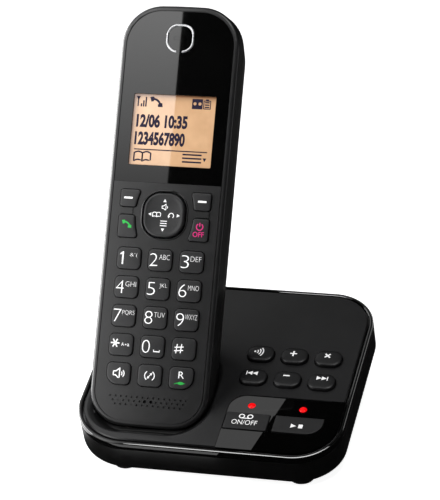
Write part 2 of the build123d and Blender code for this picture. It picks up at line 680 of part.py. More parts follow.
deck_parts = {}
for name, plan in button_plans.items():
    deck_parts[name] = pressed_key(
        plan, DECK_HEIGHT + BUTTON_RISE, square_flange(plan, BUTTON_LIP), button_flange_top, BUTTON_FLANGE,
        button_underside, BUTTON_CHAMFER
    )
for name, plan in bar_plans.items():
    deck_parts[name] = pressed_key(
        plan, DECK_HEIGHT + BAR_RISE, square_flange(plan, BAR_LIP), button_flange_top, BUTTON_FLANGE,
        button_underside, BAR_CHAMFER
    )
all_button_plans = {**button_plans, **bar_plans}

# ---------------------------------------------------------------- control panel, with a recess
with BuildSketch() as panel_shape:
    add(deck_plan(cover_inset))
    with Locations((panel_left + CUT / 2, panel_back - CUT / 2)):
        Rectangle(CUT, CUT, mode=Mode.INTERSECT)
    fillet(panel_shape.vertices().group_by(Axis.Y)[-1].sort_by(Axis.X)[0], PANEL_CORNER)
control_plan = panel_shape.sketch
with BuildSketch() as recess_shape:
    recess_right = play_right + PANEL_RECESS_GAP
    recess_front = bar_front - PANEL_RECESS_GAP
    with Locations((recess_right - CUT / 2, recess_front + CUT / 2)):
        Rectangle(CUT, CUT)
    fillet(recess_shape.vertices().group_by(Axis.Y)[0].sort_by(Axis.X)[-1], PLAY_CORNER + PANEL_RECESS_GAP)
recess_plan = recess_shape.sketch & control_plan
rib_left = answer_left + ANSWER_WIDTH
recess_plan -= Pos((rib_left + play_left) / 2, bar_at) * Rectangle(RIB_WIDTH, BAR_DEPTH)
control_panel = Pos(0, 0, DECK_HEIGHT - PANEL_THICKNESS) * extrude(control_plan, PANEL_THICKNESS)
control_panel -= Pos(0, 0, DECK_HEIGHT - PANEL_SINK) * extrude(recess_plan, 2 * PANEL_SINK)

# ---------------------------------------------------------------- top cover
top_cover = Pos(0, 0, cover_under) * extrude(deck_plan(cover_inset), COVER_THICK)
top_cover = chamfer(rim(top_cover, DECK_HEIGHT), COVER_CHAMFER)
top_cover -= scoop_room
top_cover -= cradle_room
panel_seat = spread(control_plan, PANEL_SEAM)
top_cover -= Pos(0, 0, DECK_HEIGHT - PANEL_THICKNESS) * extrude(panel_seat, COVER_THICK)
for plan in all_button_plans.values():
    hole = extrude(spread(plan, SEAT_GAP), 2 * DECK_HEIGHT)
    top_cover -= hole
    control_panel -= hole
lights = []
light_top = DECK_HEIGHT - PANEL_SINK + LIGHT_RISE
for bar_left, bar_width in ((answer_left, ANSWER_WIDTH), (play_left, PLAY_WIDTH)):
    lens = rod((bar_left + bar_width / 2, light_row), LIGHT_RADIUS, light_top - LIGHT_LENGTH, light_top)
    control_panel -= lens
    top_cover -= lens
    lights.append(lens)
deck_parts["indicator_lights"] = Compound(lights)
deck_parts["control_panel"] = control_panel

# ---------------------------------------------------------------- cradle well under the cover
cradle_well = below(scoop_block + cradle_block, cover_under) - scoop_room - cradle_room
blade_at = CONTACT_MIDDLE - CONTACT_THICK / 2 - SEAT_GAP - BASE_CONTACT[1] / 2
blade_room = [size + 2 * SEAT_GAP for size in BASE_CONTACT]
base_contacts = []
contact_rooms = []
for side in (-1, 1):
    blade_place = docked * Pos(side * CONTACT_HALF_SPACE, blade_at, contact_middle)
    blade = blade_place * Box(*BASE_CONTACT)
    cradle_well -= blade
    base_contacts.append(blade)
    contact_rooms.append(blade_place * Box(*blade_room))
deck_parts["cradle_well"] = cradle_well
deck_parts["base_charge_contacts"] = Compound(base_contacts)

# ---------------------------------------------------------------- trim ring
ring_under = Pos(0, 0, shell_height)
trim_ring = ring_under * extrude(deck_plan(0) - deck_plan(RING_WIDTH), RING_BAND)
ledge_plan = deck_plan(RING_WIDTH / 2) - deck_plan(RING_LEDGE)
trim_ring += ring_under * extrude(ledge_plan, cover_under - shell_height)
trim_ring -= cradle_block
trim_ring -= scoop_block

# ---------------------------------------------------------------- lower shell
outer = fillet(rim(extrude(deck_plan(0), shell_height), 0), SHELL_EDGE)
inner = Pos(0, 0, SHELL_WALL) * extrude(deck_plan(SHELL_WALL), shell_height)
lower_shell = outer - inner
lower_shell += below(handset_envelope(CRADLE_GAP + CRADLE_WALL + BULGE_WALL), SHELL_WALL)
lower_shell -= handset_envelope(CRADLE_GAP + CRADLE_WALL + BULGE_GAP)
for room in contact_rooms:
    lower_shell -= room

# ---------------------------------------------------------------- circuit board, button mat and their posts
board_left = button_left - BOARD_LEFT_MARGIN
board_right = button_columns[-1] + BUTTON_WIDTH / 2 - BOARD_MARGIN
board_low = bar_front - BOARD_FRONT_MARGIN
board_high = button_rows[0] + BUTTON_DEPTH / 2 + BOARD_MARGIN
board_width = board_right - board_left
board_length = board_high - board_low
board_middle = ((board_left + board_right) / 2, (board_low + board_high) / 2)
deck_parts["base_circuit_board"] = slab(
    board_width, board_length, BOARD_CORNER, board_under, board_top, board_middle
)
button_mat = slab(
    board_width - 2 * MAT_MARGIN, board_length - 2 * MAT_MARGIN, BOARD_CORNER - MAT_MARGIN, board_top,
    button_mat_top, board_middle
)
for plan in all_button_plans.values():
    middle = plan.center(CenterOf.BOUNDING_BOX)
    button_mat += plate(*BUTTON_DOME[:2], button_mat_top, button_dome_top, (middle.X, middle.Y))
deck_parts["base_button_mat"] = button_mat
for side_x in (-1, 1):
    for side_y in (-1, 1):
        post_at = (board_middle[0] + side_x * (board_width / 2 - POST_INSET),
                   board_middle[1] + side_y * (board_length / 2 - POST_INSET))
        lower_shell += post(post_at, POST_HALF, SHELL_WALL / 2, board_under)

# ---------------------------------------------------------------- loudspeaker, firing down
speaker = rod(speaker_at, SPEAKER_RADIUS, SHELL_WALL, SHELL_WALL + SPEAKER_RIM)
speaker += rod(speaker_at, SPEAKER_MAGNET, SHELL_WALL, SHELL_WALL + SPEAKER_DEPTH)
deck_parts["base_speaker"] = speaker
slot_steps = [(step - (SLOT_COUNT - 1) / 2) * SLOT_PITCH for step in range(SLOT_COUNT)]
for step in slot_steps:
    lower_shell -= Pos(speaker_at[0], speaker_at[1] + step, SHELL_WALL / 2) * Box(*SLOT, 2 * SHELL_WALL)

# ---------------------------------------------------------------- case screws, up through the lower shell
rear_screw_y = deck_back - REAR_SCREW_INSET[1]
screw_points = (
    (-deck_right + REAR_SCREW_INSET[0], rear_screw_y),
    (deck_right - REAR_SCREW_INSET[0], rear_screw_y),
    (pocket_right + FRONT_SCREW_INSET[0], -deck_back + FRONT_SCREW_INSET[1]),
    (deck_right - SIDE_SCREW_INSET[0], light_row + SIDE_SCREW_INSET[1]),
)
screws = []
for at in screw_points:
    lower_shell += post(at, SCREW_POST, SHELL_WALL / 2, shell_height)
    lower_shell -= rod(at, CASE_SCREW, -SHELL_WALL, shell_height)
    top_cover += post(at, SCREW_POST, shell_height, cover_under)
    screw = rod(at, CASE_SCREW, SCREW_SINK, cover_under - SCREW_SINK)
    top_cover -= screw
    trim_ring -= post(at, SCREW_POST + SCREW_ROOM, shell_height, cover_under)
    screws.append(screw)
deck_parts["base_screws"] = Compound(screws)
deck_parts["base_bottom_shell"] = lower_shell
deck_parts["base_top_cover"] = top_cover
deck_parts["base_trim_ring"] = trim_ring

# ================================================================ stand, feet and sockets
tilt = math.radians(DECK_TILT)
tilted = Location((0, 0, DECK_FRONT_LIFT + deck_back * math.sin(tilt)), (DECK_TILT, 0, 0))
over_slab = tilted * Pos(0, 0, CUT / 2) * Box(2 * CUT, 2 * CUT, CUT)
stand_half = deck_right - STAND_SIDE_INSET
stand_back = deck_back - STAND_BACK_INSET
stand_middle = (0, stand_back - STAND_DEPTH / 2)
socket_floor = FOOT_HEIGHT + SHELL_WALL
stand = slab(2 * stand_half, STAND_DEPTH, STAND_CORNER, FOOT_HEIGHT, STAND_TOP, stand_middle)
stand -= slab(
    2 * (stand_half - SHELL_WALL), STAND_DEPTH - 2 * SHELL_WALL, STAND_CORNER - SHELL_WALL,
    socket_floor, 2 * STAND_TOP, stand_middle
)
stand -= over_slab
for step in slot_steps:
    stand -= Pos(speaker_at[0], speaker_at[1] * math.cos(tilt) + step, FOOT_HEIGHT + SHELL_WALL / 2) * Box(
        *SLOT, 2 * SHELL_WALL
    )


def socket_block(size, at_x):
    """Body of a socket standing on the stand's floor, its mouth flush with the rear wall."""
    return Pos(at_x, stand_back - size[1] / 2, socket_floor + size[2] / 2) * Box(*size)


line_jack = socket_block(LINE_JACK, -SOCKET_SPACE)
power_jack = socket_block(POWER_JACK, SOCKET_SPACE)
stand -= line_jack
stand -= power_jack
line_jack -= Pos(-SOCKET_SPACE, stand_back - LINE_OPENING[1] / 2, socket_floor + LINE_JACK[2] / 2) * Box(
    *LINE_OPENING
)
power_mouth = Pos(SOCKET_SPACE, stand_back, socket_floor + POWER_JACK[2] / 2) * Rot(90, 0, 0)
power_jack -= power_mouth * Cylinder(POWER_BORE[0], 2 * POWER_BORE[1])
power_jack += power_mouth * rod((0, 0), POWER_PIN, POWER_PIN_TIP, POWER_BORE[1] + POWER_PIN_ROOT)

feet = []
for side, side_inset in zip((-1, 1), FRONT_FOOT_SIDES):
    front_foot_at = (side * (deck_right - side_inset), (-deck_back + FRONT_FOOT_INSET) * math.cos(tilt))
    feet.append(rod(front_foot_at, FOOT_RADIUS, 0, DECK_HEIGHT) - over_slab)
    rear_foot_at = (side * (stand_half - REAR_FOOT_INSET[0]), stand_back - REAR_FOOT_INSET[1])
    feet.append(rod(rear_foot_at, FOOT_RADIUS, 0, FOOT_HEIGHT))

# ================================================================ assembly
parts = {name: tilted * part for name, part in deck_parts.items()}
handset_place = tilted * docked
for name, part in handset_parts.items():
    parts[name] = handset_place * part
parts["desk_stand"] = stand
parts["line_jack"] = line_jack
parts["power_jack"] = power_jack
parts["rubber_feet"] = Compound(feet)

# The row's origin lies under the middle of everything.
whole = Compound(list(parts.values())).bounding_box()
centre = Pos(-(whole.min.X + whole.max.X) / 2, -(whole.min.Y + whole.max.Y) / 2, -whole.min.Z)
os.makedirs("parts", exist_ok=True)
for name, part in parts.items():
    export_step(centre * part, f"parts/{name}.step")
print("moved by", centre.position, "size", whole.size)
print(len(parts), "nodes")
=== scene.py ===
import json
import math
import bpy
import bmesh
import numpy as np
from mathutils import Matrix


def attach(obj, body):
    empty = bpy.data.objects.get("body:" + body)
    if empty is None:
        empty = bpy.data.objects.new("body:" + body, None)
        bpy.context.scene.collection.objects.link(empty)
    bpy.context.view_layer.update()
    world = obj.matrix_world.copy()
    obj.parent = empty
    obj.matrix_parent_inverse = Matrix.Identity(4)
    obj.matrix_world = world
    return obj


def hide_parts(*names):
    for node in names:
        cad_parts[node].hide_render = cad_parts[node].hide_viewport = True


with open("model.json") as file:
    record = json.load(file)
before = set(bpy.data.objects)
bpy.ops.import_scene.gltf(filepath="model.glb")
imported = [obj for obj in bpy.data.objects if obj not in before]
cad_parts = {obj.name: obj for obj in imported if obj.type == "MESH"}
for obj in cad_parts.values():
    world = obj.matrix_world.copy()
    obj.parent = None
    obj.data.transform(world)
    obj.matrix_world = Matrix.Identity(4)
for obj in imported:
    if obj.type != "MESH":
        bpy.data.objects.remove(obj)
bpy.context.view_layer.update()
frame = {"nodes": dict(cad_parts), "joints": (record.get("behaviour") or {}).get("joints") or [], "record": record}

mm = 0.001
scene = bpy.context.scene
bodies = frame["record"]["behaviour"]["bodies"]
bodyOf = {node: body for body, nodes in bodies.items() for node in nodes}
slotOf = {part["node"]: part["material_slot"] for part in frame["record"]["subparts"]}


def slideAxis(joint):
    # direction of a key's or button's stroke
    axes = [j["axis"] for j in frame["joints"] if j["name"] == joint]
    return np.array(axes[0], float)


def meshPoints(mesh):
    # all corners of a mesh as rows of x, y, z
    points = np.empty(len(mesh.vertices) * 3)
    mesh.vertices.foreach_get("co", points)
    return points.reshape(-1, 3)


def nodePoints(node):
    # all corners of a CAD node, in metres
    return meshPoints(frame["nodes"][node].data)


def axesOf(out):
    # x stays to the right, z is square to a face, and y runs up the face
    return np.array([[1, 0, 0], np.cross(out, [1, 0, 0]), out])


def spanOf(node, axes):
    # lowest and highest place of a node along three axes: its points times the axes
    points = nodePoints(node) @ axes.T
    return points.min(0), points.max(0)


def toWorld(points, place):
    # mm on a face to metres: the face's origin plus the points times its axes
    return place["origin"] + np.asarray(points, float) * mm @ place["axes"]


def toLocal(points, place):
    # metres to mm on a face: the points less its origin, times its turned axes
    return (points - place["origin"]) @ place["axes"].T / mm


# the handset's face: y from its lower end, z out of the face
faceAxes = axesOf(slideAxis("key_5_press"))
shellLow, shellHigh = spanOf("handset_front_shell", faceAxes)
panelHigh = spanOf("display_panel", faceAxes)[1]
handset = {"axes": faceAxes, "origin": np.array(
    [(shellLow[0] + shellHigh[0]) / 2, shellLow[1], panelHigh[2]]) @ faceAxes}

# the base's deck: x and y from its middle, z up from its top
deckAxes = axesOf(slideAxis("play_button_press"))
ringLow, ringHigh = spanOf("base_trim_ring", deckAxes)
coverHigh = spanOf("base_top_cover", deckAxes)[1]
deck = {"axes": deckAxes, "origin": np.array(
    [(ringLow[0] + ringHigh[0]) / 2, (ringLow[1] + ringHigh[1]) / 2, coverHigh[2]]) @ deckAxes}


def capBox(node, place, level):
    # lowest and highest corner of what stands above a level
    points = toLocal(nodePoints(node), place)
    points = points[points[:, 2] > level]
    return points.min(0), points.max(0)


def capPlan(node, place, look):
    # the outline of a CAD cap at a level: its points there, in order of their angle round the middle
    points = toLocal(nodePoints(node), place)
    flat = points[np.abs(points[:, 2] - look["level"]) < 0.02][:, :2]
    flat = np.unique(flat.round(3), axis=0)
    middle = (flat.min(0) + flat.max(0)) / 2
    turn = np.arctan2(flat[:, 1] - middle[1], flat[:, 0] - middle[0])
    return evenly(flat[np.argsort(turn)], look["points"])


print("frame read:", len(frame["nodes"]), "nodes")


def inScene(name, data):
    # an object that holds a mesh, curve, camera or lamp
    holder = bpy.data.objects.new(name, data)
    scene.collection.objects.link(holder)
    return holder


def reworked(mesh, edit):
    # a mesh changed in place by a function of its bmesh
    work = bmesh.new()
    work.from_mesh(mesh)
    edit(work)
    work.to_mesh(mesh)
    work.free()


def smoothed(mesh, sharp):
    # smooth shading, but for edges above the sharp angle in degrees
    mesh.polygons.foreach_set("use_smooth", np.ones(len(mesh.polygons), bool))
    mesh.set_sharp_from_angle(angle=math.radians(sharp))


def mend(work):
    # doubles merged and faces turned outwards
    bmesh.ops.remove_doubles(work, verts=work.verts, dist=0.0005 * mm)
    bmesh.ops.recalc_face_normals(work, faces=work.faces)


def finishMesh(name, points, faces, place, sharp=40):
    # points and faces as a mended, smooth object on a face
    mesh = bpy.data.meshes.new(name)
    mesh.from_pydata(toWorld(points, place).tolist(), [], faces)
    reworked(mesh, mend)
    smoothed(mesh, sharp)
    return inScene(name, mesh)


def addPiece(name, points, faces, place, body, material, slot, sharp=40):
    # a finished mesh with its material and the body that it rides on; slot, the slot of its finish, is not used
    piece = finishMesh(name, points, faces, place, sharp)
    piece.data.materials.append(material)
    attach(piece, body)
    return piece


def quadsBetween(rings, around, closed):
    # quads between neighbouring rings of points; closed joins the last ring to the first one too
    ring, step = np.meshgrid(np.arange(rings if closed else rings - 1), np.arange(around), indexing="ij")
    after = (step + 1) % around
    beyond = (ring + 1) % rings
    quads = np.stack([ring * around + step, ring * around + after, beyond * around + after, beyond * around + step], -1)
    return quads.reshape(-1, 4).tolist()


def ringSolid(rings):
    # rings is an array (ring, point, xyz), counter-clockwise from above, bottom to top; a fan closes each end
    rings = np.asarray(rings, float)
    count, around = rings.shape[:2]
    first = np.arange(around)
    last = (count - 1) * around + first
    start = np.stack([np.full(around, count * around), np.roll(first, -1), first], -1)
    end = np.stack([np.full(around, count * around + 1), last, np.roll(last, -1)], -1)
    points = np.vstack([rings.reshape(-1, 3), rings[0].mean(0), rings[-1].mean(0)])
    return points, quadsBetween(count, around, False) + start.tolist() + end.tolist()


def evenly(outline, count):
    # the same closed outline with count points, evenly spaced along it
    closed = np.vstack([outline, outline[:1]])
    run = np.concatenate([[0], np.cumsum(np.hypot(*np.diff(closed, axis=0).T))])
    at = np.linspace(0, run[-1], count, endpoint=False)
    return np.stack([np.interp(at, run, closed[:, 0]), np.interp(at, run, closed[:, 1])], -1)


def roundedOutline(low, high, corners, count=96, steps=13):
    # rectangle from corner to corner; each corner is a quarter circle of its own radius
    sides = [(high[0], high[1], 0), (low[0], high[1], 90), (low[0], low[1], 180), (high[0], low[1], 270)]
    arcs = []
    for (x, y, turn), radius in zip(sides, corners):
        angle = np.radians(turn + np.linspace(0, 90, steps))
        inX = x - radius * np.sign(math.cos(math.radians(turn + 45)))
        inY = y - radius * np.sign(math.sin(math.radians(turn + 45)))
        arcs.append(np.stack([inX + radius * np.cos(angle), inY + radius * np.sin(angle)], -1))
    return evenly(np.vstack(arcs), count)


def outlineNormals(outline):
    # unit vectors out of a counter-clockwise outline, from the points before and after each one
    along = np.roll(outline, -1, 0) - np.roll(outline, 1, 0)
    along /= np.hypot(*along.T)[:, None]
    return np.stack([along[:, 1], -along[:, 0]], -1)


def band(outline, section):
    # a section of (inset, height) pairs carried round a closed outline
    section = np.asarray(section, float)
    normals = outlineNormals(outline)
    plan = outline[:, None, :] - normals[:, None, :] * section[None, :, :1]
    height = np.broadcast_to(section[None, :, 1:], (len(outline), len(section), 1))
    points = np.concatenate([plan, height], -1)
    return points.reshape(-1, 3), quadsBetween(len(outline), len(section), True)


def bead(path, width, rise):
    # a half-round bead along an open path: half an ellipse of the given width and rise, closed flat under it
    path = np.asarray(path, float)
    along = np.gradient(path, axis=0)
    along /= np.hypot(*along.T)[:, None]
    side = np.stack([along[:, 1], -along[:, 0]], -1)
    angle = np.linspace(0, math.pi, 11)
    across = np.cos(angle) * width / 2
    height = np.sin(angle) * rise
    plan = path[:, None, :] + side[:, None, :] * across[None, :, None]
    points = np.concatenate([plan, np.broadcast_to(height[None, :, None], (len(path), 11, 1))], -1)
    return ringSolid(points)


def dome(x, y, middle, half, height):
    # height of a soft crown: full in the middle, nothing at the edge of a rounded square
    reach = np.sqrt((np.abs(x - middle[0]) / half[0]) ** 4 + (np.abs(y - middle[1]) / half[1]) ** 4)
    return height * (1 - np.minimum(reach, 1))


def capSolid(outline, top, look):
    # a cap: a flange under the face, straight walls, a quarter-round edge, and a crowned top in shrinking rings
    normals = outlineNormals(outline)
    middle = (outline.min(0) + outline.max(0)) / 2
    half = (outline.max(0) - outline.min(0)) / 2
    rings = []
    for grow, height in look["skirt"]:
        rings.append(np.column_stack([outline + normals * grow, np.full(len(outline), height)]))
    edge = look["edge"]
    base = top - look["crown"]
    for turn in np.linspace(0, math.pi / 2, 5):
        inset = edge * (1 - math.cos(turn))
        height = base - edge + edge * math.sin(turn)
        rings.append(np.column_stack([outline - normals * inset, np.full(len(outline), height)]))
    rim = outline - normals * edge
    for share in (0.93, 0.8, 0.6, 0.4, 0.2):
        plan = middle + (rim - middle) * share
        rings.append(np.column_stack([plan, base + dome(plan[:, 0], plan[:, 1], middle, half, look["crown"])]))
    points, faces = ringSolid(rings)
    points[-1, :2] = middle
    points[-1, 2] = base + look["crown"]
    return points, faces, lambda x, y: base + dome(x, y, middle, half, look["crown"])


inkThickness = 0.012  # mm of printed ink


def flatMesh(curve):
    # a filled flat curve made a mesh: points and faces
    holder = inScene("holder", curve)
    graph = bpy.context.evaluated_depsgraph_get()
    mesh = bpy.data.meshes.new_from_object(holder.evaluated_get(graph))
    points = meshPoints(mesh)
    faces = [list(face.vertices) for face in mesh.polygons]
    bpy.data.objects.remove(holder)
    bpy.data.meshes.remove(mesh)
    bpy.data.curves.remove(curve)
    return points, faces


def words(text, height, at, width=None, weight=0.0):
    # text of a given height and width in mm, centred on a point
    curve = bpy.data.curves.new("words", "FONT")
    curve.body = text
    curve.offset = weight
    curve.resolution_u = 4
    curve.extrude = inkThickness
    points, faces = flatMesh(curve)
    low = points.min(0)
    high = points.max(0)
    points[:, :2] -= (low[:2] + high[:2]) / 2
    scaleY = height / (high[1] - low[1])
    scaleX = scaleY if width is None else width / (high[0] - low[0])
    points[:, 0] = points[:, 0] * scaleX + at[0]
    points[:, 1] = points[:, 1] * scaleY + at[1]
    return points, faces


def filled(loops, at=(0, 0), scale=1.0):
    # a flat shape inside closed loops of points; a loop inside another one is a hole
    curve = bpy.data.curves.new("shape", "CURVE")
    curve.dimensions = "2D"
    curve.fill_mode = "BOTH"
    curve.extrude = inkThickness
    for loop in loops:
        spline = curve.splines.new("POLY")
        loop = np.asarray(loop, float) * scale + at
        spline.points.add(len(loop) - 1)
        flat = np.column_stack([loop, np.zeros(len(loop)), np.ones(len(loop))])
        spline.points.foreach_set("co", flat.ravel())
        spline.use_cyclic_u = True
    return flatMesh(curve)


def stroke(path, width):
    # closed loop round an open path: the path moved to both sides by half the width
    path = np.asarray(path, float)
    along = np.gradient(path, axis=0)
    along /= np.hypot(*along.T)[:, None]
    side = np.stack([-along[:, 1], along[:, 0]], -1) * (np.asarray(width) / 2).reshape(-1, 1)
    return np.vstack([path + side, (path - side)[::-1]])


def strokeLoop(loop, width):
    # two loops along a closed counter-clockwise loop, half the width outside and inside it
    loop = evenly(np.asarray(loop, float), 72)
    out = outlineNormals(loop) * width / 2
    return [loop + out, loop - out]


def arc(middle, radius, start, stop, count=16):
    # points on a circle from one angle in degrees to another
    angle = np.radians(np.linspace(start, stop, count))
    return np.stack([middle[0] + radius * np.cos(angle), middle[1] + radius * np.sin(angle)], -1)


def circle(radius, count):
    # points evenly round a circle
    turn = np.linspace(0, 2 * math.pi, count, endpoint=False)
    return radius * np.column_stack([np.cos(turn), np.sin(turn)])


def box(width, height, at=(0, 0), corner=0.0):
    # a rectangle round a point: plus and minus half its width and height, with rounded corners if asked
    half = np.array([width, height]) / 2
    if corner:
        return roundedOutline(np.array(at) - half, np.array(at) + half, [corner] * 4, 48, 5)
    return np.array(at) + np.array([[1, 1], [-1, 1], [-1, -1], [1, -1]]) * half


def pointer(size, turn, at=(0, 0)):
    # solid triangle that points along an angle
    angle = np.radians(turn + np.array([0, 125, 235]))
    return np.array(at) + size * np.stack([np.cos(angle), np.sin(angle)], -1)


def receiver(size):
    # a telephone receiver lying along a falling arc: thick at both ends, thin between them
    path = arc((-0.42, -0.62), 1.0, 112, -2, 25)
    reach = np.abs(np.linspace(-1, 1, 25))
    return stroke(path, 0.28 + 0.36 * (reach > 0.55)) * size


def book(width, height, line):
    # an open book: two pages that curl in at the spine
    side = np.linspace(0, 1, 12)
    curl = height * (0.5 - 0.14 * (1 - np.sin(side * math.pi)) - 0.06)
    right = np.column_stack([side * width / 2, curl])
    foot = np.column_stack([side[::-1] * width / 2, curl[::-1] - height * 0.78])
    page = np.vstack([foot, right])
    pages = []
    for way in (1, -1):
        loop = page * (way, 1)
        pages.append(filled(strokeLoop(loop if way > 0 else loop[::-1], line)))
    return joined(pages)


def joined(parts):
    # several meshes as one: the face numbers move on by the points before them; a bare loop is filled first
    points = []
    faces = []
    count = 0
    for part in parts:
        piecePoints, pieceFaces = part if isinstance(part, tuple) else filled([part])
        points.append(piecePoints)
        faces += [[index + count for index in face] for face in pieceFaces]
        count += len(piecePoints)
    return np.vstack(points), faces


def moved(part, at):
    # the same part, shifted in the plane
    points = part[0].copy()
    points[:, :2] += at
    return points, part[1]


printSettings = {"longest": 0.6, "halvings": 6}


def split(points, faces, look):
    # the same shape with its long edges halved until none is over the limit, so that it can follow a crown
    def halve(work):
        # one cut in each long edge, as often as the settings allow
        for step in range(look["halvings"]):
            tooLong = [edge for edge in work.edges if edge.calc_length() > look["longest"]]
            if tooLong:
                bmesh.ops.subdivide_edges(work, edges=tooLong, cuts=1)
                bmesh.ops.triangulate(work, faces=[face for face in work.faces if len(face.verts) > 3])

    mesh = bpy.data.meshes.new("split")
    mesh.from_pydata(points.tolist(), [], faces)
    reworked(mesh, halve)
    points = meshPoints(mesh)
    faces = [list(face.vertices) for face in mesh.polygons]
    bpy.data.meshes.remove(mesh)
    return points, faces


def addPrint(name, parts, place, body, material, slot, height):
    # height is a function of x and y: the surface that the print lies on
    points, faces = split(*joined(parts), printSettings)
    points[:, 2] += height(points[:, 0], points[:, 1]) + inkThickness
    return addPiece(name, points, faces, place, body, material, slot, sharp=30)


def linear(code):
    # sRGB hex to linear colour
    parts = np.array([int(code[i:i + 2], 16) / 255 for i in (1, 3, 5)])
    parts = np.where(parts <= 0.04045, parts / 12.92, ((parts + 0.055) / 1.055) ** 2.4)
    return (*parts.tolist(), 1.0)


def wire(tree, node, links):
    # links from other sockets into a node's own, which are given by name or number
    for name, source in links.items():
        tree.links.new(source, node.inputs[name])


def addNode(tree, kind, settings=None, links=None):
    # one node with its settings, its socket values by name or number, and its links
    node = tree.nodes.new(kind)
    for name, value in (settings or {}).items():
        if isinstance(name, int) or name in node.inputs:
            node.inputs[name].default_value = value
        else:
            setattr(node, name, value)
    wire(tree, node, links or {})
    return node


def newMaterial(name, settings):
    # a Principled material with its uniform values set on the shader itself
    material = bpy.data.materials.new(name)
    material.use_nodes = True
    tree = material.node_tree
    shader = tree.nodes["Principled BSDF"]
    for key, value in settings.items():
        shader.inputs[key].default_value = value
    return material, tree, shader


def mottled(tree, place, scale, detail, low, high):
    # noise in object space, stretched from low to high
    noise = addNode(tree, "ShaderNodeTexNoise", {"Scale": scale, "Detail": detail}, {"Vector": place})
    ramp = addNode(tree, "ShaderNodeMapRange", {"From Min": 0.3, "From Max": 0.7, "To Min": low, "To Max": high},
                   {"Value": noise.outputs["Fac"]})
    return ramp.outputs["Result"]


def clouded(tree, pitch, dark, light, detail=2):
    # object space, and two colours mixed in it by noise of a pitch in mm
    place = addNode(tree, "ShaderNodeTexCoord").outputs["Object"]
    cloud = mottled(tree, place, 1 / (pitch * mm), detail, 0, 1)
    tint = addNode(tree, "ShaderNodeMix", {"data_type": "RGBA", 6: linear(dark), 7: linear(light)}, {0: cloud})
    return place, tint.outputs[2]


def mouldedPlastic(name, look):
    # moulded ABS: fine spark-eroded grain from the tool, slight cloudiness in colour and sheen
    material, tree, shader = newMaterial(name, {"IOR": 1.53})
    place, tint = clouded(tree, look["cloud"], look["dark"], look["light"], 3)
    sheen = mottled(tree, place, 1 / (look["cloud"] * 0.4 * mm), 2,
                    look["roughness"] - look["spread"], look["roughness"] + look["spread"])
    wire(tree, shader, {"Base Color": tint, "Roughness": sheen})
    if "grain" in look:
        grit = addNode(tree, "ShaderNodeTexNoise", {"Scale": 1 / (look["grain"] * mm), "Detail": 2.0},
                       {"Vector": place})
        bump = addNode(tree, "ShaderNodeBump", {"Strength": look["depth"], "Distance": 0.05 * mm},
                       {"Height": grit.outputs["Fac"]})
        wire(tree, shader, {"Normal": bump.outputs["Normal"]})
    return material


# grain is the pitch of the eroded texture in mm; the real one is near 0.1 and is drawn coarser so that it shows
erodedAbs = mouldedPlastic("erodedBlackAbs", {
    "dark": "#191919", "light": "#1f1f20", "roughness": 0.33, "spread": 0.02,
    "cloud": 9.0, "grain": 0.35, "depth": 0.12})
deckAbs = mouldedPlastic("deckBlackAbs", {
    "dark": "#1a1a1b", "light": "#202021", "roughness": 0.36, "spread": 0.02,
    "cloud": 12.0, "grain": 0.35, "depth": 0.12})
lowerAbs = mouldedPlastic("lowerBlackAbs", {
    "dark": "#0e0e0e", "light": "#131313", "roughness": 0.32, "spread": 0.03,
    "cloud": 14.0, "grain": 0.4, "depth": 0.12})
keyAbs = mouldedPlastic("satinKeyAbs", {
    "dark": "#232324", "light": "#282829", "roughness": 0.42, "spread": 0.02,
    "cloud": 6.0, "grain": 0.3, "depth": 0.08})
# polished ABS, as clear as lacquer, with faint handling marks in its gloss
pianoAbs = mouldedPlastic("polishedBlackAbs", {
    "dark": "#050505", "light": "#070707", "roughness": 0.03, "spread": 0.012, "cloud": 18.0})
rubber = mouldedPlastic("mouldedRubber", {
    "dark": "#121212", "light": "#1a1a1a", "roughness": 0.75, "spread": 0.05, "cloud": 3.0, "grain": 0.4, "depth": 0.4})
silicone = mouldedPlastic("greySilicone", {
    "dark": "#5a5e62", "light": "#6a6e72", "roughness": 0.6, "spread": 0.05, "cloud": 4.0, "grain": 0.5, "depth": 0.2})
laminate = mouldedPlastic("solderMask", {
    "dark": "#0d4a22", "light": "#156030", "roughness": 0.35, "spread": 0.05, "cloud": 2.0, "grain": 0.8, "depth": 0.1})
jacket = mouldedPlastic("cellSleeve", {
    "dark": "#1e6a48", "light": "#268055", "roughness": 0.3, "spread": 0.04, "cloud": 8.0})


def platedMetal(name, look):
    # plated metal: plain reflection, with a sheen that varies over the brushing
    material, tree, shader = newMaterial(name, {"Metallic": 1.0})
    place, tint = clouded(tree, look["brush"] * 4, look["dark"], look["light"])
    sheen = mottled(tree, place, 1 / (look["brush"] * mm), 2, look["roughness"] * 0.8, look["roughness"] * 1.25)
    wire(tree, shader, {"Base Color": tint, "Roughness": sheen})
    return material


chrome = platedMetal("satinChromePlate", {"dark": "#c4c4c6", "light": "#d6d6d8", "roughness": 0.3, "brush": 1.5})
steel = platedMetal("zincPlatedSteel", {"dark": "#9a9b9d", "light": "#a9aaac", "roughness": 0.35, "brush": 0.8})
nickel = platedMetal("dullNickelContact", {"dark": "#4c4a46", "light": "#5c5a55", "roughness": 0.5, "brush": 0.6})


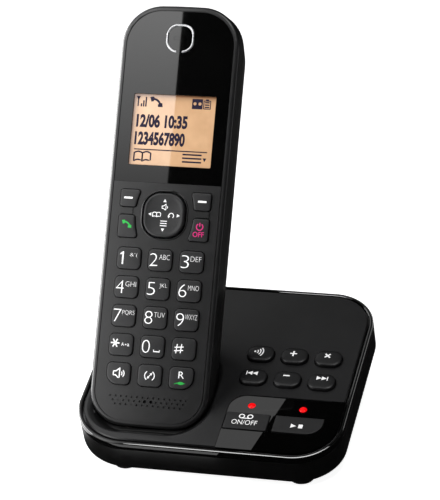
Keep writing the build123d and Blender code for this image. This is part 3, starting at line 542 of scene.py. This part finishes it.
def ink(name, colour, glow=0.0):
    # pad-printed ink: opaque, slightly uneven, satin; when asked, it also gets a painted glow, light of its own that no
    # lamp gives
    material, tree, shader = newMaterial(name, {"Roughness": 0.45, "Specular IOR Level": 0.3})
    place = addNode(tree, "ShaderNodeTexCoord").outputs["Object"]
    cloud = mottled(tree, place, 1 / (0.5 * mm), 2, 0.92, 1.0)
    tone = addNode(tree, "ShaderNodeMix", {"data_type": "RGBA", "blend_type": "MULTIPLY", 0: 1.0, 6: linear(colour)},
                   {7: cloud})
    wire(tree, shader, {"Base Color": tone.outputs[2]})
    # painted glow: the ink gives off its own colour as light
    if glow:
        shader.inputs["Emission Color"].default_value = linear(colour)
        shader.inputs["Emission Strength"].default_value = glow
    return material


whiteInk = ink("whiteInk", "#f4f4f4", 0.55)  # painted glow: a little light of its own, which makes the print brighter than the lamps light it
# the green and magenta inks get a painted glow as well
greenInk = ink("greenInk", "#2fae4a", 0.45)
magentaInk = ink("magentaInk", "#d2307a", 0.45)
lcdInk = ink("liquidCrystalInk", "#1a0f33")


def amberGlass():
    # amber liquid crystal window: a diffuser lit from inside, behind clear glass, with a painted shadow of the frame:
    # dark brown mixed in where the glow attribute falls
    material, tree, shader = newMaterial("backlitAmberGlass", {
        "Roughness": 0.5, "Specular IOR Level": 0.0, "Coat Weight": 1.0, "Coat Roughness": 0.02, "Coat IOR": 1.95,
        "Emission Strength": 0.62})
    tone = clouded(tree, 6, "#c39b76", "#cda680")[1]
    glow = addNode(tree, "ShaderNodeAttribute", {"attribute_name": "glow"})
    # painted shadow: the attribute mixes dark brown into the tone, both in the colour and in the light that the screen
    # gives off
    shade = addNode(tree, "ShaderNodeMix", {"data_type": "RGBA", 6: linear("#5a3520")},
                    {0: glow.outputs["Fac"], 7: tone})
    wire(tree, shader, {"Base Color": shade.outputs[2], "Emission Color": shade.outputs[2]})
    return material


def redLens():
    # clear red lens with a lit diode under it
    material, tree, shader = newMaterial("litRedLens", {
        "Roughness": 0.2, "Base Color": linear("#c00006"), "Emission Strength": 0.85})
    wire(tree, shader, {"Emission Color": clouded(tree, 0.8, "#e60006", "#fa0a0e")[1]})
    return material


amber = amberGlass()
red = redLens()
diffuser = mouldedPlastic("amberDiffuser", {
    "dark": "#b98a5e", "light": "#c79a6e", "roughness": 0.4, "spread": 0.03, "cloud": 5.0})
materialOfSlot = {
    "matte_black_abs": erodedAbs, "key_plastic": keyAbs, "gloss_black_panel": pianoAbs, "chrome_trim": chrome,
    "screen_amber": diffuser, "lamp_red": red, "rubber_black": rubber, "silicone_mat": silicone,
    "board_laminate": laminate, "steel_parts": steel, "contact_metal": nickel, "cell_jacket": jacket,
}
for node, holder in frame["nodes"].items():
    holder.data.materials.clear()
    holder.data.materials.append(materialOfSlot[slotOf[node]])
print("materials made")


def carved(mesh, points, faces, place):
    # the mesh less a cutter, which is a set of closed solids
    holder = inScene("carved", mesh)
    cutter = finishMesh("cutter", points, faces, place)
    cut = holder.modifiers.new("cut", "BOOLEAN")
    cut.operation = "DIFFERENCE"
    cut.solver = "EXACT"
    cut.object = cutter
    graph = bpy.context.evaluated_depsgraph_get()
    result = bpy.data.meshes.new_from_object(holder.evaluated_get(graph))
    bpy.data.objects.remove(holder)
    bpy.data.objects.remove(cutter)
    return result


def merge(work):
    # doubles merged and slivers taken out
    bmesh.ops.remove_doubles(work, verts=work.verts, dist=0.002 * mm)
    bmesh.ops.dissolve_degenerate(work, dist=0.001 * mm, edges=work.edges)


def flatten(work):
    # triangles of one plane made one face
    bmesh.ops.remove_doubles(work, verts=work.verts, dist=0.002 * mm)
    bmesh.ops.dissolve_limit(work, angle_limit=math.radians(0.3), verts=work.verts, edges=work.edges)


def dressed(node, material, sharp=32, cutter=None, edge=0.0, flat=True):
    # a smooth copy of a CAD shell; flat shades it by its large plane faces, and edge breaks its edges by so many mm
    mesh = frame["nodes"][node].data.copy()
    reworked(mesh, merge)
    if cutter:
        mesh = carved(mesh, *cutter)
    if flat:
        reworked(mesh, flatten)
    smoothed(mesh, sharp)
    mesh.materials.clear()
    mesh.materials.append(material)
    piece = inScene(node + "_skin", mesh)
    if edge:
        bevel = piece.modifiers.new("edge", "BEVEL")
        bevel.width = edge * mm
        bevel.segments = 2
        bevel.limit_method = "ANGLE"
        bevel.angle_limit = math.radians(sharp)
    if flat:
        weighted = piece.modifiers.new("flatFaces", "WEIGHTED_NORMAL")
        weighted.keep_sharp = True
        weighted.weight = 90
    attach(piece, bodyOf[node])
    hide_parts(node)


grille = {"pitch": 2.14, "rows": ((11.3, 15), (9.8, 14), (8.3, 13)), "radius": 0.4, "depth": 0.4}


def grilleCutter(look):
    # every dimple is a small bowl: rings whose radius falls with the square of the depth
    reach = np.array([0.45, 0.8, 0.95, 1.0, 1.0]) * look["radius"]
    height = np.array([-look["depth"], -look["depth"] * 0.8, -look["depth"] * 0.45, 0.0, 0.2])
    bowl = np.concatenate([reach[:, None, None] * circle(1.0, 12), np.broadcast_to(height[:, None, None], (5, 12, 1))],
                          -1)
    bowls = []
    for y, count in look["rows"]:
        for x in (np.arange(count) - (count - 1) / 2) * look["pitch"]:
            if abs(x) > look["pitch"] or count != 14:
                bowls.append(ringSolid(bowl + (x, y, 0)))
    return (*joined(bowls), handset)


dressed("handset_front_shell", erodedAbs, cutter=grilleCutter(grille))
dressed("handset_back_shell", erodedAbs, flat=False)
dressed("battery_cover", erodedAbs, flat=False)
dressed("display_panel", pianoAbs)
dressed("base_top_cover", deckAbs)
dressed("control_panel", pianoAbs, edge=0.12)
dressed("base_bottom_shell", lowerAbs)
dressed("desk_stand", lowerAbs)
dressed("cradle_well", lowerAbs)
print("shells dressed")

ringSettings = {"cradleCorner": 22.0, "corner": 18.0, "width": 1.5, "topRound": 0.6, "footRound": 0.2, "bevel": 0.2,
                "ledge": 2.2, "ledgeTop": -2.0, "points": 560}


def addRing(look):
    # the ring's section, with a quarter round at its outer top edge and a small one at its foot, carried round the slab
    low, high = capBox("base_trim_ring", deck, -10)
    corners = [look["corner"], look["corner"], look["cradleCorner"], look["corner"]]
    outline = roundedOutline(low[:2], high[:2], corners, look["points"], 61)
    turn = np.linspace(0, math.pi / 2, 6)
    foot = np.column_stack([look["footRound"] * (1 - np.sin(turn)), low[2] + look["footRound"] * (1 - np.cos(turn))])
    head = np.column_stack([look["topRound"] * (1 - np.cos(turn)), high[2] - look["topRound"] * (1 - np.sin(turn))])
    inner = look["width"]
    section = np.vstack([foot, head, [
        [inner - look["bevel"], high[2]], [inner, high[2] - look["bevel"]], [inner, look["ledgeTop"]],
        [look["ledge"], look["ledgeTop"]], [look["ledge"], low[2]]]])
    points, faces = band(outline, section)
    piece = addPiece("trim_ring", points, faces, deck, "base", pianoAbs, "gloss_black_panel", sharp=50)
    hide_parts("base_trim_ring")


addRing(ringSettings)

keySettings = {"edge": 0.3, "crown": 0.12, "skirt": ((0.6, -2.5), (0.6, -1.9), (0.0, -1.9)),
               "corner": 1.9, "bigCorner": 4.4}
# level is the height at which a CAD cap's outline is read, in mm, and points is how many it gets
clusterSettings = {"edge": 0.3, "crown": 0.1, "skirt": keySettings["skirt"], "level": 0.5, "points": 110}
navigatorSettings = {"edge": 0.75, "crown": -0.5, "skirt": ((-0.6, -1.9), (0.0, -1.5)), "level": 0.3, "points": 160}
buttonSettings = {"edge": 0.5, "crown": 0.25, "skirt": ((0.7, -3.1), (0.7, -2.3), (0.0, -2.3)), "level": 1.2,
                  "points": 110}
barSettings = {"edge": 0.22, "crown": 0.0, "skirt": ((0.5, -3.1), (0.5, -2.3), (0.0, -2.3)), "level": 0.15,
               "points": 160}
tops = {}  # the middle of each cap, the height of its surface and the face that it is on


def addCap(node, outline, place, look, material):
    # a cap on an outline, as high as its CAD node
    low, high = capBox(node, place, -10)
    points, faces, height = capSolid(outline, high[2], look)
    piece = addPiece(node + "_cap", points, faces, place, node, material, slotOf[node], sharp=50)
    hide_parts(node)
    tops[node] = ((outline.min(0) + outline.max(0)) / 2, height, place)


bigCorners = {"key_speaker": 2, "key_recall": 3}  # which corner, counted from the upper right
dialKeys = ["key_%d" % number for number in range(1, 10)]
dialKeys += ["key_star", "key_0", "key_hash", "key_speaker", "key_intercom", "key_recall"]
for node in dialKeys:
    low, high = capBox(node, handset, 0.1)
    corners = [keySettings["corner"]] * 4
    if node in bigCorners:
        corners[bigCorners[node]] = keySettings["bigCorner"]
    addCap(node, roundedOutline(low[:2], high[:2], corners), handset, keySettings, keyAbs)
capGroups = (
    (("soft_key_left", "soft_key_right", "talk_key", "off_key"), handset, clusterSettings, keyAbs),
    (("navigator_key",), handset, navigatorSettings, keyAbs),
    (("locator_button", "volume_up_button", "erase_button", "skip_back_button", "volume_down_button",
      "skip_forward_button"), deck, buttonSettings, deckAbs),
    (("answer_button", "play_button"), deck, barSettings, keyAbs))
for nodes, place, look, material in capGroups:
    for node in nodes:
        addCap(node, capPlan(node, place, look), place, look, material)
print("keys and buttons made")

lipSettings = {"width": 0.55, "rise": 0.16, "clear": 0.9}


def addNavigatorLip(look):
    # a polished bead round the navigator's recess
    plan = capPlan("navigator_key", handset, navigatorSettings)
    outline = plan + outlineNormals(plan) * look["clear"]
    turn = np.linspace(0, math.pi, 9)
    section = np.column_stack([np.cos(turn) * look["width"] / 2, np.sin(turn) * look["rise"]])
    section = np.vstack([section, [[-look["width"] / 2, -0.1], [look["width"] / 2, -0.1]]])
    points, faces = band(outline, section)
    addPiece("navigator_lip", points, faces, handset, "handset", pianoAbs, "gloss_black_panel", sharp=60)


addNavigatorLip(lipSettings)

earpieceSettings = {"corner": 4.6, "width": 0.95, "rise": 0.5, "mouth": 2.2}


def addEarpieceRing(look):
    # a half-round bead along a rounded square that stays open at its foot
    low, high = capBox("earpiece_ring", handset, -1)
    inset = look["width"] / 2
    outline = roundedOutline(low[:2] + inset, high[:2] - inset, [look["corner"] - inset] * 4, 240, 25)
    middle = (low[:2] + high[:2]) / 2
    turn = np.arctan2(outline[:, 0] - middle[0], -(outline[:, 1] - middle[1])) % (2 * math.pi)
    outline = outline[np.argsort(turn)]
    keep = (outline[:, 1] > middle[1]) | (np.abs(outline[:, 0] - middle[0]) > look["mouth"] / 2)
    points, faces = bead(outline[keep], look["width"], look["rise"])
    piece = addPiece("earpiece_bead", points, faces, handset, "handset", chrome, slotOf["earpiece_ring"], sharp=60)
    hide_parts("earpiece_ring")


addEarpieceRing(earpieceSettings)

gauzeSettings = {"width": 4.9, "height": 1.1, "thick": 0.8}


def addGauze(look):
    # a flat plug in the sound slot: a rounded bar from just under the face downwards
    low, high = capBox("earpiece_ring", handset, -1)
    outline = box(look["width"], look["height"], (low[:2] + high[:2]) / 2, 0.1)
    rings = [np.column_stack([outline, np.full(len(outline), height)]) for height in (-look["thick"], -0.01)]
    points, faces = ringSolid(rings)
    addPiece("earpiece_gauze", points, faces, handset, "handset", pianoAbs, "gloss_black_panel")


addGauze(gauzeSettings)

lensSettings = {"radius": 1.5, "edge": 0.4, "crown": 0.25, "top": 0.05, "foot": -2.7}


def addLenses(look):
    # two round lenses: straight sides, a quarter-round edge and a low crown
    low, high = capBox("indicator_lights", deck, -10)
    parts = []
    for x in (low[0] + look["radius"], high[0] - look["radius"]):
        outline = circle(look["radius"], 48) + (x, (low[1] + high[1]) / 2)
        parts.append(capSolid(outline, look["top"], {"edge": look["edge"], "crown": look["crown"],
                                                     "skirt": ((0.0, look["foot"]),)})[:2])
    points, faces = joined(parts)
    piece = addPiece("indicator_lenses", points, faces, deck, "base", red, "lamp_red", sharp=60)
    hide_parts("indicator_lights")


addLenses(lensSettings)

# shadow is the reach in mm of the painted shadow along the screen's upper and left edges
lcdSettings = {"margin": 0.12, "level": -0.5, "thick": 0.04, "shadow": 1.3, "rows": 56, "columns": 66}


def addLcdFace(look):
    # a thin plate on the screen; its glow attribute holds a painted shadow of the frame, falling as
    # exp(-distance/shadow) near the window's upper and left edges, and a painted highlight a little brighter at its
    # right edge
    low, high = capBox("lcd_screen", handset, -0.6)
    low = low[:2] + look["margin"]
    high = high[:2] - look["margin"]
    x = np.linspace(low[0], high[0], look["columns"])
    y = np.linspace(low[1], high[1], look["rows"])
    gridX, gridY = np.meshgrid(x, y)
    flat = np.column_stack([gridX.ravel(), gridY.ravel()])
    top = np.column_stack([flat, np.full(len(flat), look["level"] + look["thick"])])
    foot = np.column_stack([flat, np.full(len(flat), look["level"])])
    row, column = np.meshgrid(np.arange(look["rows"] - 1), np.arange(look["columns"] - 1), indexing="ij")
    corner = (row * look["columns"] + column).ravel()
    quads = np.stack([corner, corner + 1, corner + 1 + look["columns"], corner + look["columns"]], -1)
    count = len(flat)
    wide = look["columns"]
    lastRow = (look["rows"] - 1) * wide
    edge = np.concatenate([
        np.arange(wide - 1), np.arange(look["rows"] - 1) * wide + wide - 1,
        np.arange(wide - 1, 0, -1) + lastRow, np.arange(look["rows"] - 1, 0, -1) * wide])
    beyond = np.roll(edge, -1)
    sides = np.stack([edge + count, beyond + count, beyond, edge], -1)
    faces = np.vstack([quads, quads[:, ::-1] + count, sides]).tolist()
    piece = addPiece("lcd_face", np.vstack([top, foot]), faces, handset, "handset", amber, "screen_amber", sharp=60)
    local = toLocal(meshPoints(piece.data), handset)
    # painted shadow along the window's upper and left edges
    paintedShadowFall = np.exp(-(high[1] - local[:, 1]) / look["shadow"]) + np.exp(-(local[:, 0] - low[0]) / look["shadow"] * 1.2)
    glow = np.clip(1 - paintedShadowFall, 0, 1)
    # painted highlight: a little brighter along the right edge
    glow += 0.1 * np.exp(-(high[0] - local[:, 0]) / 0.5) * glow
    piece.data.attributes.new("glow", "FLOAT", "POINT").data.foreach_set("value", glow)


addLcdFace(lcdSettings)

tapeLoops = [box(4.2, 3.9), arc((-1.0, 0.1), 0.62, 0, 345, 20), arc((1.0, 0.1), 0.62, 0, 345, 20)]
lcdParts = [
    stroke(((-14.6, 122.4), (-14.6, 126.2)), 0.5), pointer(1.05, 270, (-14.6, 125.7)),
    box(0.55, 1.2, (-13.3, 122.9)), box(0.55, 2.4, (-12.4, 123.5)), box(0.55, 3.8, (-11.5, 124.2)),
    filled([receiver(2.9)], (-7.4, 124.3)), filled(tapeLoops, (8.95, 124.2)),
    filled([box(3.0, 3.4, (12.8, 124.0), 0.2), box(2.3, 2.7, (12.8, 124.0))]), box(1.2, 0.5, (12.8, 125.9)),
    box(1.8, 0.5, (12.8, 123.1)), box(1.8, 0.5, (12.8, 124.0)), box(1.8, 0.5, (12.8, 124.9)),
    words("12/06 10:35", 5.2, (-4.5, 116.9), 20.4, 0.045), words("1234567890", 5.4, (-4.8, 110.1), 20.0, 0.045),
    box(29.0, 0.42, (-0.1, 105.8)), moved(book(6.6, 4.0, 0.58), (-11.1, 103.2)),
    box(7.6, 0.6, (8.6, 104.6)), box(7.6, 0.6, (8.6, 103.2)), box(7.6, 0.6, (8.6, 101.8)),
    pointer(0.9, 270, (13.6, 103.0))]
addPrint("lcd_symbols", lcdParts, handset, "handset", lcdInk, "screen_amber",
         lambda x, y: lcdSettings["level"] + lcdSettings["thick"] + 0 * x)

digitLook = {"height": 4.9, "width": 3.15, "shift": -2.45, "weight": -0.02}
letterLook = {"height": 1.9, "shift": (1.75, 1.15), "weight": -0.02}
# the letters beside each digit, their width and how much further right they stand, in mm
letters = {2: ("ABC", 4.2, 0), 3: ("DEF", 4.2, 0), 4: ("GHI", 4.2, 0), 5: ("JKL", 3.0, 0.5), 6: ("MNO", 4.2, 0),
           7: ("PQRS", 4.8, 0.1), 8: ("TUV", 4.2, 0), 9: ("WXYZ", 4.8, 0.1)}


def printOn(node, parts, material=whiteInk, tag="print"):
    # parts are drawn round the cap's middle
    middle, height, place = tops[node]
    addPrint(node + "_" + tag, [moved(joined(parts), middle)], place, node, material, slotOf[node], height)


for number in range(10):
    parts = [words(str(number), digitLook["height"], (digitLook["shift"], 0.0), digitLook["width"],
                   digitLook["weight"])]
    if number == 0:
        parts.append(stroke(((0.7, -1.1), (0.7, -1.75), (3.0, -1.75), (3.0, -1.1)), 0.42))
    elif number == 1:
        parts = [stroke(((-2.35, -2.45), (-2.35, 2.45)), 0.56), stroke(((-2.25, 2.25), (-3.45, 1.35)), 0.5),
                 words("&'(", 1.7, (1.9, 1.2), 3.0, letterLook["weight"])]
    else:
        text, width, further = letters[number]
        at = (letterLook["shift"][0] + further, letterLook["shift"][1])
        parts.append(words(text, letterLook["height"], at, width, letterLook["weight"]))
    printOn("key_%d" % number, parts)
starArms = []
for turn in np.radians([0, 60, 120]):
    tip = 1.75 * np.array([math.cos(turn), math.sin(turn)])
    starArms.append(filled([stroke((-tip, tip), 0.5)], (-2.3, 0.5)))
printOn("key_star", starArms + [words("A", 1.3, (0.7, 0.2), 1.1), pointer(0.42, 0, (1.9, 0.1)),
                                words("a", 1.0, (2.9, 0.0), 0.9)])
printOn("key_hash", [stroke(path, 0.38) for path in (
    ((-3.6, 0.45), (0.0, 0.8)), ((-3.7, -0.85), (-0.1, -0.5)),
    ((-2.6, 1.75), (-2.95, -1.8)), ((-0.85, 1.85), (-1.2, -1.65)))])
cone = [(-1.5, -0.55), (-0.8, -0.55), (0.3, -1.5), (0.3, 1.5), (-0.8, 0.55), (-1.5, 0.55)]


def speakerSign(size, waves=2):
    # a cone drawn in outline with sound waves beside it
    parts = [filled(strokeLoop(cone, 0.32), scale=size)]
    for wave in range(waves):
        parts.append(filled([stroke(arc((0.3, 0), 0.75 + 0.6 * wave, -42, 42), 0.3)], scale=size))
    return joined(parts)


printOn("key_speaker", [moved(speakerSign(1.35), (0.1, 0.1))])
printOn("key_intercom", [
    stroke(arc((0, 0), 1.9, 125, 235), 0.36), stroke(arc((0, 0), 1.9, -55, 55), 0.36),
    stroke(((-0.6, -0.7), (0.6, 0.7)), 0.3), pointer(0.62, 45, (0.62, 0.72)), pointer(0.62, 225, (-0.62, -0.72))])
printOn("key_recall", [words("R", 2.6, (0.0, 1.2), 2.2)])
leaf = np.vstack([arc((0, -1.9), 2.2, 40, 140, 14), arc((0, 1.5), 2.3, 222, 318, 14)])
printOn("key_recall", [filled([leaf], (0.0, -1.7)), stroke(((-2.5, -2.3), (-1.2, -1.9)), 0.25)], greenInk, "mark")
# the nib on the middle key, felt by a fingertip
nibSettings = {"radius": 0.36, "top": 1.05, "edge": 0.12, "crown": 0.08, "skirt": ((0.0, 0.6),)}
nib = capSolid(circle(nibSettings["radius"], 20), nibSettings["top"], nibSettings)[:2]
addPiece("key_5_nib", *moved(nib, tops["key_5"][0] + (0.4, -0.5)), handset, "key_5", keyAbs, "key_plastic")

printOn("soft_key_left", [box(3.4, 0.72, (-0.6, 0.0), 0.1)])
printOn("soft_key_right", [box(3.4, 0.72, (0.5, 0.0), 0.1)])
printOn("talk_key", [filled([receiver(2.2)], (-0.35, 0.7))], greenInk)
printOn("off_key", [
    stroke(arc((0.35, 1.2), 1.25, 125, 415, 30), 0.42), stroke(((0.35, 1.3), (0.35, 2.75)), 0.42),
    words("OFF", 2.0, (0.05, -1.7), 4.4, 0.01)], magentaInk)
redial = filled([stroke(arc((0, 0), 0.95, -50, 190, 24), 0.32)])
printOn("navigator_key", [
    pointer(0.75, 90, (0, 5.4)), pointer(0.75, 270, (0, -5.6)), pointer(0.75, 180, (-5.4, 0.1)),
    pointer(0.75, 0, (5.6, 0.0)), moved(speakerSign(0.85, 1), (0.3, 3.0)), moved(book(3.1, 1.9, 0.3), (-2.9, 0.1)),
    moved(redial, (2.9, -0.1)), pointer(0.6, 262, (1.95, -0.5)),
    box(2.6, 0.3, (0.1, -2.3)), box(2.6, 0.3, (0.1, -3.2)), box(2.6, 0.3, (0.1, -4.1))])

waves = [stroke(arc((-2.2, 0.3), radius, -42, 42), 0.42) for radius in (1.2, 2.2, 3.2)]
plus = [(1.35, 0.27), (0.3, 0.27), (0.3, 1.4), (-0.3, 1.4), (-0.3, 0.27), (-1.35, 0.27), (-1.35, -0.27), (-0.3, -0.27),
        (-0.3, -1.4), (0.3, -1.4), (0.3, -0.27), (1.35, -0.27)]
cross = np.array(plus) @ np.array([[0.72, 0.72], [-0.72, 0.72]])
reels = [filled(strokeLoop(arc((side * 1.6, 0), 0.95, 0, 345, 24), 0.42)) for side in (-1, 1)]
deckSigns = {
    "locator_button": waves + [arc((-2.2, 0.3), 0.42, 0, 330, 12)],
    "volume_up_button": [filled([plus], (-0.45, 0.6))],
    "erase_button": [filled([cross], (-0.4, 0.8))],
    "skip_back_button": [pointer(1.25, 180, (-1.2, 1.3)), pointer(1.25, 180, (0.8, 1.3)), box(0.35, 2.0, (-2.7, 1.3))],
    "volume_down_button": [box(2.5, 0.6, (-0.5, 1.3))],
    "skip_forward_button": [pointer(1.25, 0, (-1.4, 1.3)), pointer(1.25, 0, (0.6, 1.3)), box(0.35, 2.0, (2.1, 1.3))],
    "answer_button": [moved(joined(reels + [box(3.2, 0.4, (0, -0.95))]), (-0.6, 2.3)),
                      words("ON/OFF", 2.4, (-0.6, -0.8), 9.8, -0.004)],
    "play_button": [pointer(1.3, 0, (-1.9, -0.6)), box(1.6, 1.9, (1.1, -0.6))]}
for node, parts in deckSigns.items():
    printOn(node, parts)
print("printing done")

cameraSettings = {
    "at": (238.55, -776.656, 502.31), "right": (0.96319, 0.25911, -0.07157), "up": (-0.06179, 0.47254, 0.87914),
    "back": (0.26161, -0.84236, 0.47115), "lens": 174.97, "sensor": 36.0}


def stand(holder, right, up, back, at):
    # turn and place a camera or lamp: its three axes and its place are the columns of its matrix
    turn = np.eye(4)
    turn[:3] = np.column_stack([right, up, back, at])
    holder.matrix_world = Matrix(turn.tolist())


def addCamera(settings):
    # the lens stands at the given place and looks against its back axis
    data = bpy.data.cameras.new("camera")
    data.lens = settings["lens"]
    data.sensor_width = settings["sensor"]
    data.sensor_fit = "AUTO"
    data.clip_start = 0.05
    data.clip_end = 50
    holder = inScene("camera", data)
    stand(holder, settings["right"], settings["up"], settings["back"], np.array(settings["at"]) * mm)
    scene.camera = holder


addCamera(cameraSettings)


def boardMaterial(name, look):
    # a lit diffusion panel: its own light only, on its front, changing in steps along the panel's length
    material, tree, shader = newMaterial(name, {})
    tree.nodes.remove(shader)
    place = addNode(tree, "ShaderNodeUVMap").outputs["UV"]
    parted = addNode(tree, "ShaderNodeSeparateXYZ", {}, {"Vector": place})
    ramp = addNode(tree, "ShaderNodeValToRGB", {}, {"Fac": parted.outputs[look.get("axis", "Y")]})
    stops = look["stops"]
    peak = max(level for at, level in stops)
    ramp.color_ramp.elements.remove(ramp.color_ramp.elements[1])
    for index, (at, level) in enumerate(stops):
        stop = ramp.color_ramp.elements[0] if index == 0 else ramp.color_ramp.elements.new(at)
        stop.color = (level / peak, level / peak, level / peak, 1)
    side = addNode(tree, "ShaderNodeNewGeometry")
    scaled = addNode(tree, "ShaderNodeMath", {"operation": "MULTIPLY", 1: peak}, {0: side.outputs["Backfacing"]})
    front = addNode(tree, "ShaderNodeMath", {"operation": "SUBTRACT", 0: peak}, {1: scaled.outputs[0]})
    light = addNode(tree, "ShaderNodeEmission", {}, {"Color": ramp.outputs["Color"], "Strength": front.outputs[0]})
    wire(tree, tree.nodes["Material Output"], {"Surface": light.outputs[0]})
    return material


def addBoard(name, corners, look):
    # a flat panel between corners given counter-clockwise from its lower left, seen from the side that it lights
    mesh = bpy.data.meshes.new(name)
    mesh.from_pydata(np.asarray(corners).tolist(), [], [list(range(len(corners)))])
    layer = mesh.uv_layers.new(name="UVMap")
    layer.data.foreach_set("uv", np.array([(0, 0), (1, 0), (1, 1), (0, 1)], float).ravel())
    mesh.materials.append(boardMaterial(name, look))
    board = inScene(name, mesh)
    board.visible_camera = False
    board.visible_shadow = False
    board.visible_diffuse = look.get("lights", True)
    board.visible_transmission = False
    return board


def mirroredBoard(place, look):
    # a panel parallel to a face whose mirror image, seen by the camera, fills the face's rectangle from low to high
    (left, foot), (right, head) = look["low"], look["high"]
    eye = np.array(cameraSettings["at"]) * mm
    out = place["axes"][2]
    depth = (eye - place["origin"]) @ out
    behind = eye - 2 * depth * out
    plan = np.array([(right, foot, 0), (left, foot, 0), (left, head, 0), (right, head, 0)])
    return behind + (toWorld(plan, place) - behind) * (1 + look["distance"] * mm / depth)


# two panels before the handset, mirrored in the left part of its face: one in the display, one below it
keyPanel = {"low": (-150, 90.5), "high": (0, 240), "distance": 110,
            "stops": ((0.0, 1.1), (0.44, 3.4), (1.0, 3.4))}
addBoard("keyPanel", mirroredBoard(handset, keyPanel), keyPanel)
lowPanel = {"low": (-150, -60), "high": (-2, 90.5), "distance": 110, "axis": "X",
            "stops": ((0.0, 0.3), (0.08, 0.7), (0.2, 2.4), (0.4, 3.3), (1.0, 3.3))}
addBoard("lowPanel", mirroredBoard(handset, lowPanel), lowPanel)

# the back panel hangs behind the base and is mirrored in its deck, bright on the left
backPanel = {"low": (-190, -120), "high": (60, 120), "distance": 330, "axis": "X",
             "stops": ((0.0, 0.2), (0.24, 0.3), (0.36, 0.9), (0.46, 1.5), (1.0, 1.5))}
backBoard = addBoard("backPanel", mirroredBoard(deck, backPanel), backPanel)


def seenBy(board, names, state="INCLUDE"):
    # a board or lamp that only the named pieces reflect, or that all but the named ones do
    receivers = bpy.data.collections.new(board.name + "Receivers")
    for name in names:
        receivers.objects.link(bpy.data.objects[name])
    for link in receivers.collection_objects:
        link.light_linking.link_state = state
    board.light_linking.receiver_collection = receivers


def areaLamp(name, width, height, watts):
    # a rectangular lamp with its sides in metres
    data = bpy.data.lights.new(name, "AREA")
    data.shape = "RECTANGLE"
    data.size = width
    data.size_y = height
    data.energy = watts
    return inScene(name, data)


def addSheen(look):
    # a small lamp low over the control panel, mirrored by that panel alone: its long side is the sheen's slanted edge
    start, end = np.array(look["side"])
    along = (end - start) / np.hypot(*(end - start))
    across = np.array((along[1], -along[0]))
    middle = (start + end) / 2 - across * look["width"] / 2
    width, length = look["width"], look["length"]
    lamp = areaLamp("panelSheen", width * mm, length * mm, look["level"] * math.pi * width * length * mm ** 2)
    stand(lamp, across @ deck["axes"][:2], along @ deck["axes"][:2], deck["axes"][2],
          toWorld([*middle, look["height"]], deck))
    lamp.visible_camera = False
    lamp.visible_diffuse = False
    lamp.visible_transmission = False
    seenBy(lamp, ["control_panel_skin"])


seenBy(backBoard, ["control_panel_skin"], "EXCLUDE")
sheenSettings = {"side": ((18.5, -42.6), (26.4, -9.6)), "height": 3.0, "width": 40.0, "length": 70.0, "level": 1.0}
addSheen(sheenSettings)


def evenBoard(name, corners, level):
    # a board of one brightness, seen only in reflections; its corners are in mm
    return addBoard(name, np.array(corners) * mm, {"stops": ((0.0, level), (1.0, level)), "lights": False})


flagHeight = 0.3  # mm over the floor
# dark cards keep the pale floor out of the walls; the slot between them is mirrored in the ring's front face
flags = {"frontFlag": ((-60, -64.4), (400, 60), 0.01), "slotFlag": ((3.4, -69.2), (400, -64.4), 0.01),
         "nearFlag": ((-60, -300), (400, -69.2), 0.01), "sideFlag": ((-400, -20), (-60, 60), 0.01),
         "farFlag": ((-400, 60), (400, 500), 0.04)}
for name, ((left, near), (right, far), level) in flags.items():
    evenBoard(name, [(left, near, flagHeight), (right, near, flagHeight), (right, far, flagHeight),
                     (left, far, flagHeight)], level)


def addLamp(name, look):
    # a square soft lamp: its back axis runs from what it lights to the lamp, its right axis stays level
    holder = areaLamp(name, look["size"], look["size"], look["watts"])
    back = np.array(look["at"]) - look["towards"]
    back /= np.linalg.norm(back)
    right = np.cross([0, 0, 1], back)
    right /= np.linalg.norm(right)
    stand(holder, right, np.cross(back, right), back, look["at"])


# boards that the rounded edges catch as thin lines: low behind the object, over its front, and at its left
rimBoards = {
    "rimStrip": (((-500, 450, 10), (700, 450, 10), (700, 450, 330), (-500, 450, 330)), 3.0, ["trim_ring"]),
    "edgePanel": (((-700, -900, 500), (-700, -150, 500), (700, -150, 500), (700, -900, 500)), 18.0, ["trim_ring"]),
    "sidePanel": (((-500, -220, 20), (-500, 250, 20), (-500, 250, 330), (-500, -220, 330)), 14.0,
                  ["trim_ring", "handset_front_shell_skin", "display_panel_skin", "navigator_lip",
                   "control_panel_skin"])}
for name, (corners, level, names) in rimBoards.items():
    seenBy(evenBoard(name, corners, level), names)
lampSettings = {"at": (0.15, -0.1, 0.75), "towards": (0.0, 0.0, 0.05), "size": 0.35, "watts": 1.6}
addLamp("topLamp", lampSettings)

world = bpy.data.worlds.new("studio")
world.use_nodes = True
sky = world.node_tree.nodes["Background"].inputs
sky["Color"].default_value = linear("#ffffff")
sky["Strength"].default_value = 0.04
scene.world = world

floorSettings = {"radius": 8.0, "lift": 0.92, "sides": 96}


def addFloor(look):
    # a pale disc, which looks nearly white to the lens and in reflections and still takes the object's shadow
    material, tree, shader = newMaterial("paleFloor", {
        "Base Color": linear("#f2f2f2"), "Roughness": 0.9, "Specular IOR Level": 0.1, "Emission Color": (1, 1, 1, 1)})
    path = addNode(tree, "ShaderNodeLightPath").outputs
    seen = addNode(tree, "ShaderNodeMath", {"operation": "MAXIMUM"},
                   {0: path["Is Camera Ray"], 1: path["Is Glossy Ray"]})
    seenThrough = addNode(tree, "ShaderNodeMath", {"operation": "MAXIMUM"},
                          {0: seen.outputs[0], 1: path["Is Transmission Ray"]})
    strength = addNode(tree, "ShaderNodeMath", {"operation": "MULTIPLY", 1: look["lift"]}, {0: seenThrough.outputs[0]})
    wire(tree, shader, {"Emission Strength": strength.outputs[0]})
    rim = np.column_stack([circle(look["radius"], look["sides"]), np.zeros(look["sides"])])
    mesh = bpy.data.meshes.new("floor")
    mesh.from_pydata(rim.tolist(), [], [list(range(look["sides"]))])
    mesh.materials.append(material)
    inScene("floor", mesh)


addFloor(floorSettings)
scene.view_settings.view_transform = "Standard"
print("camera, light and floor set")
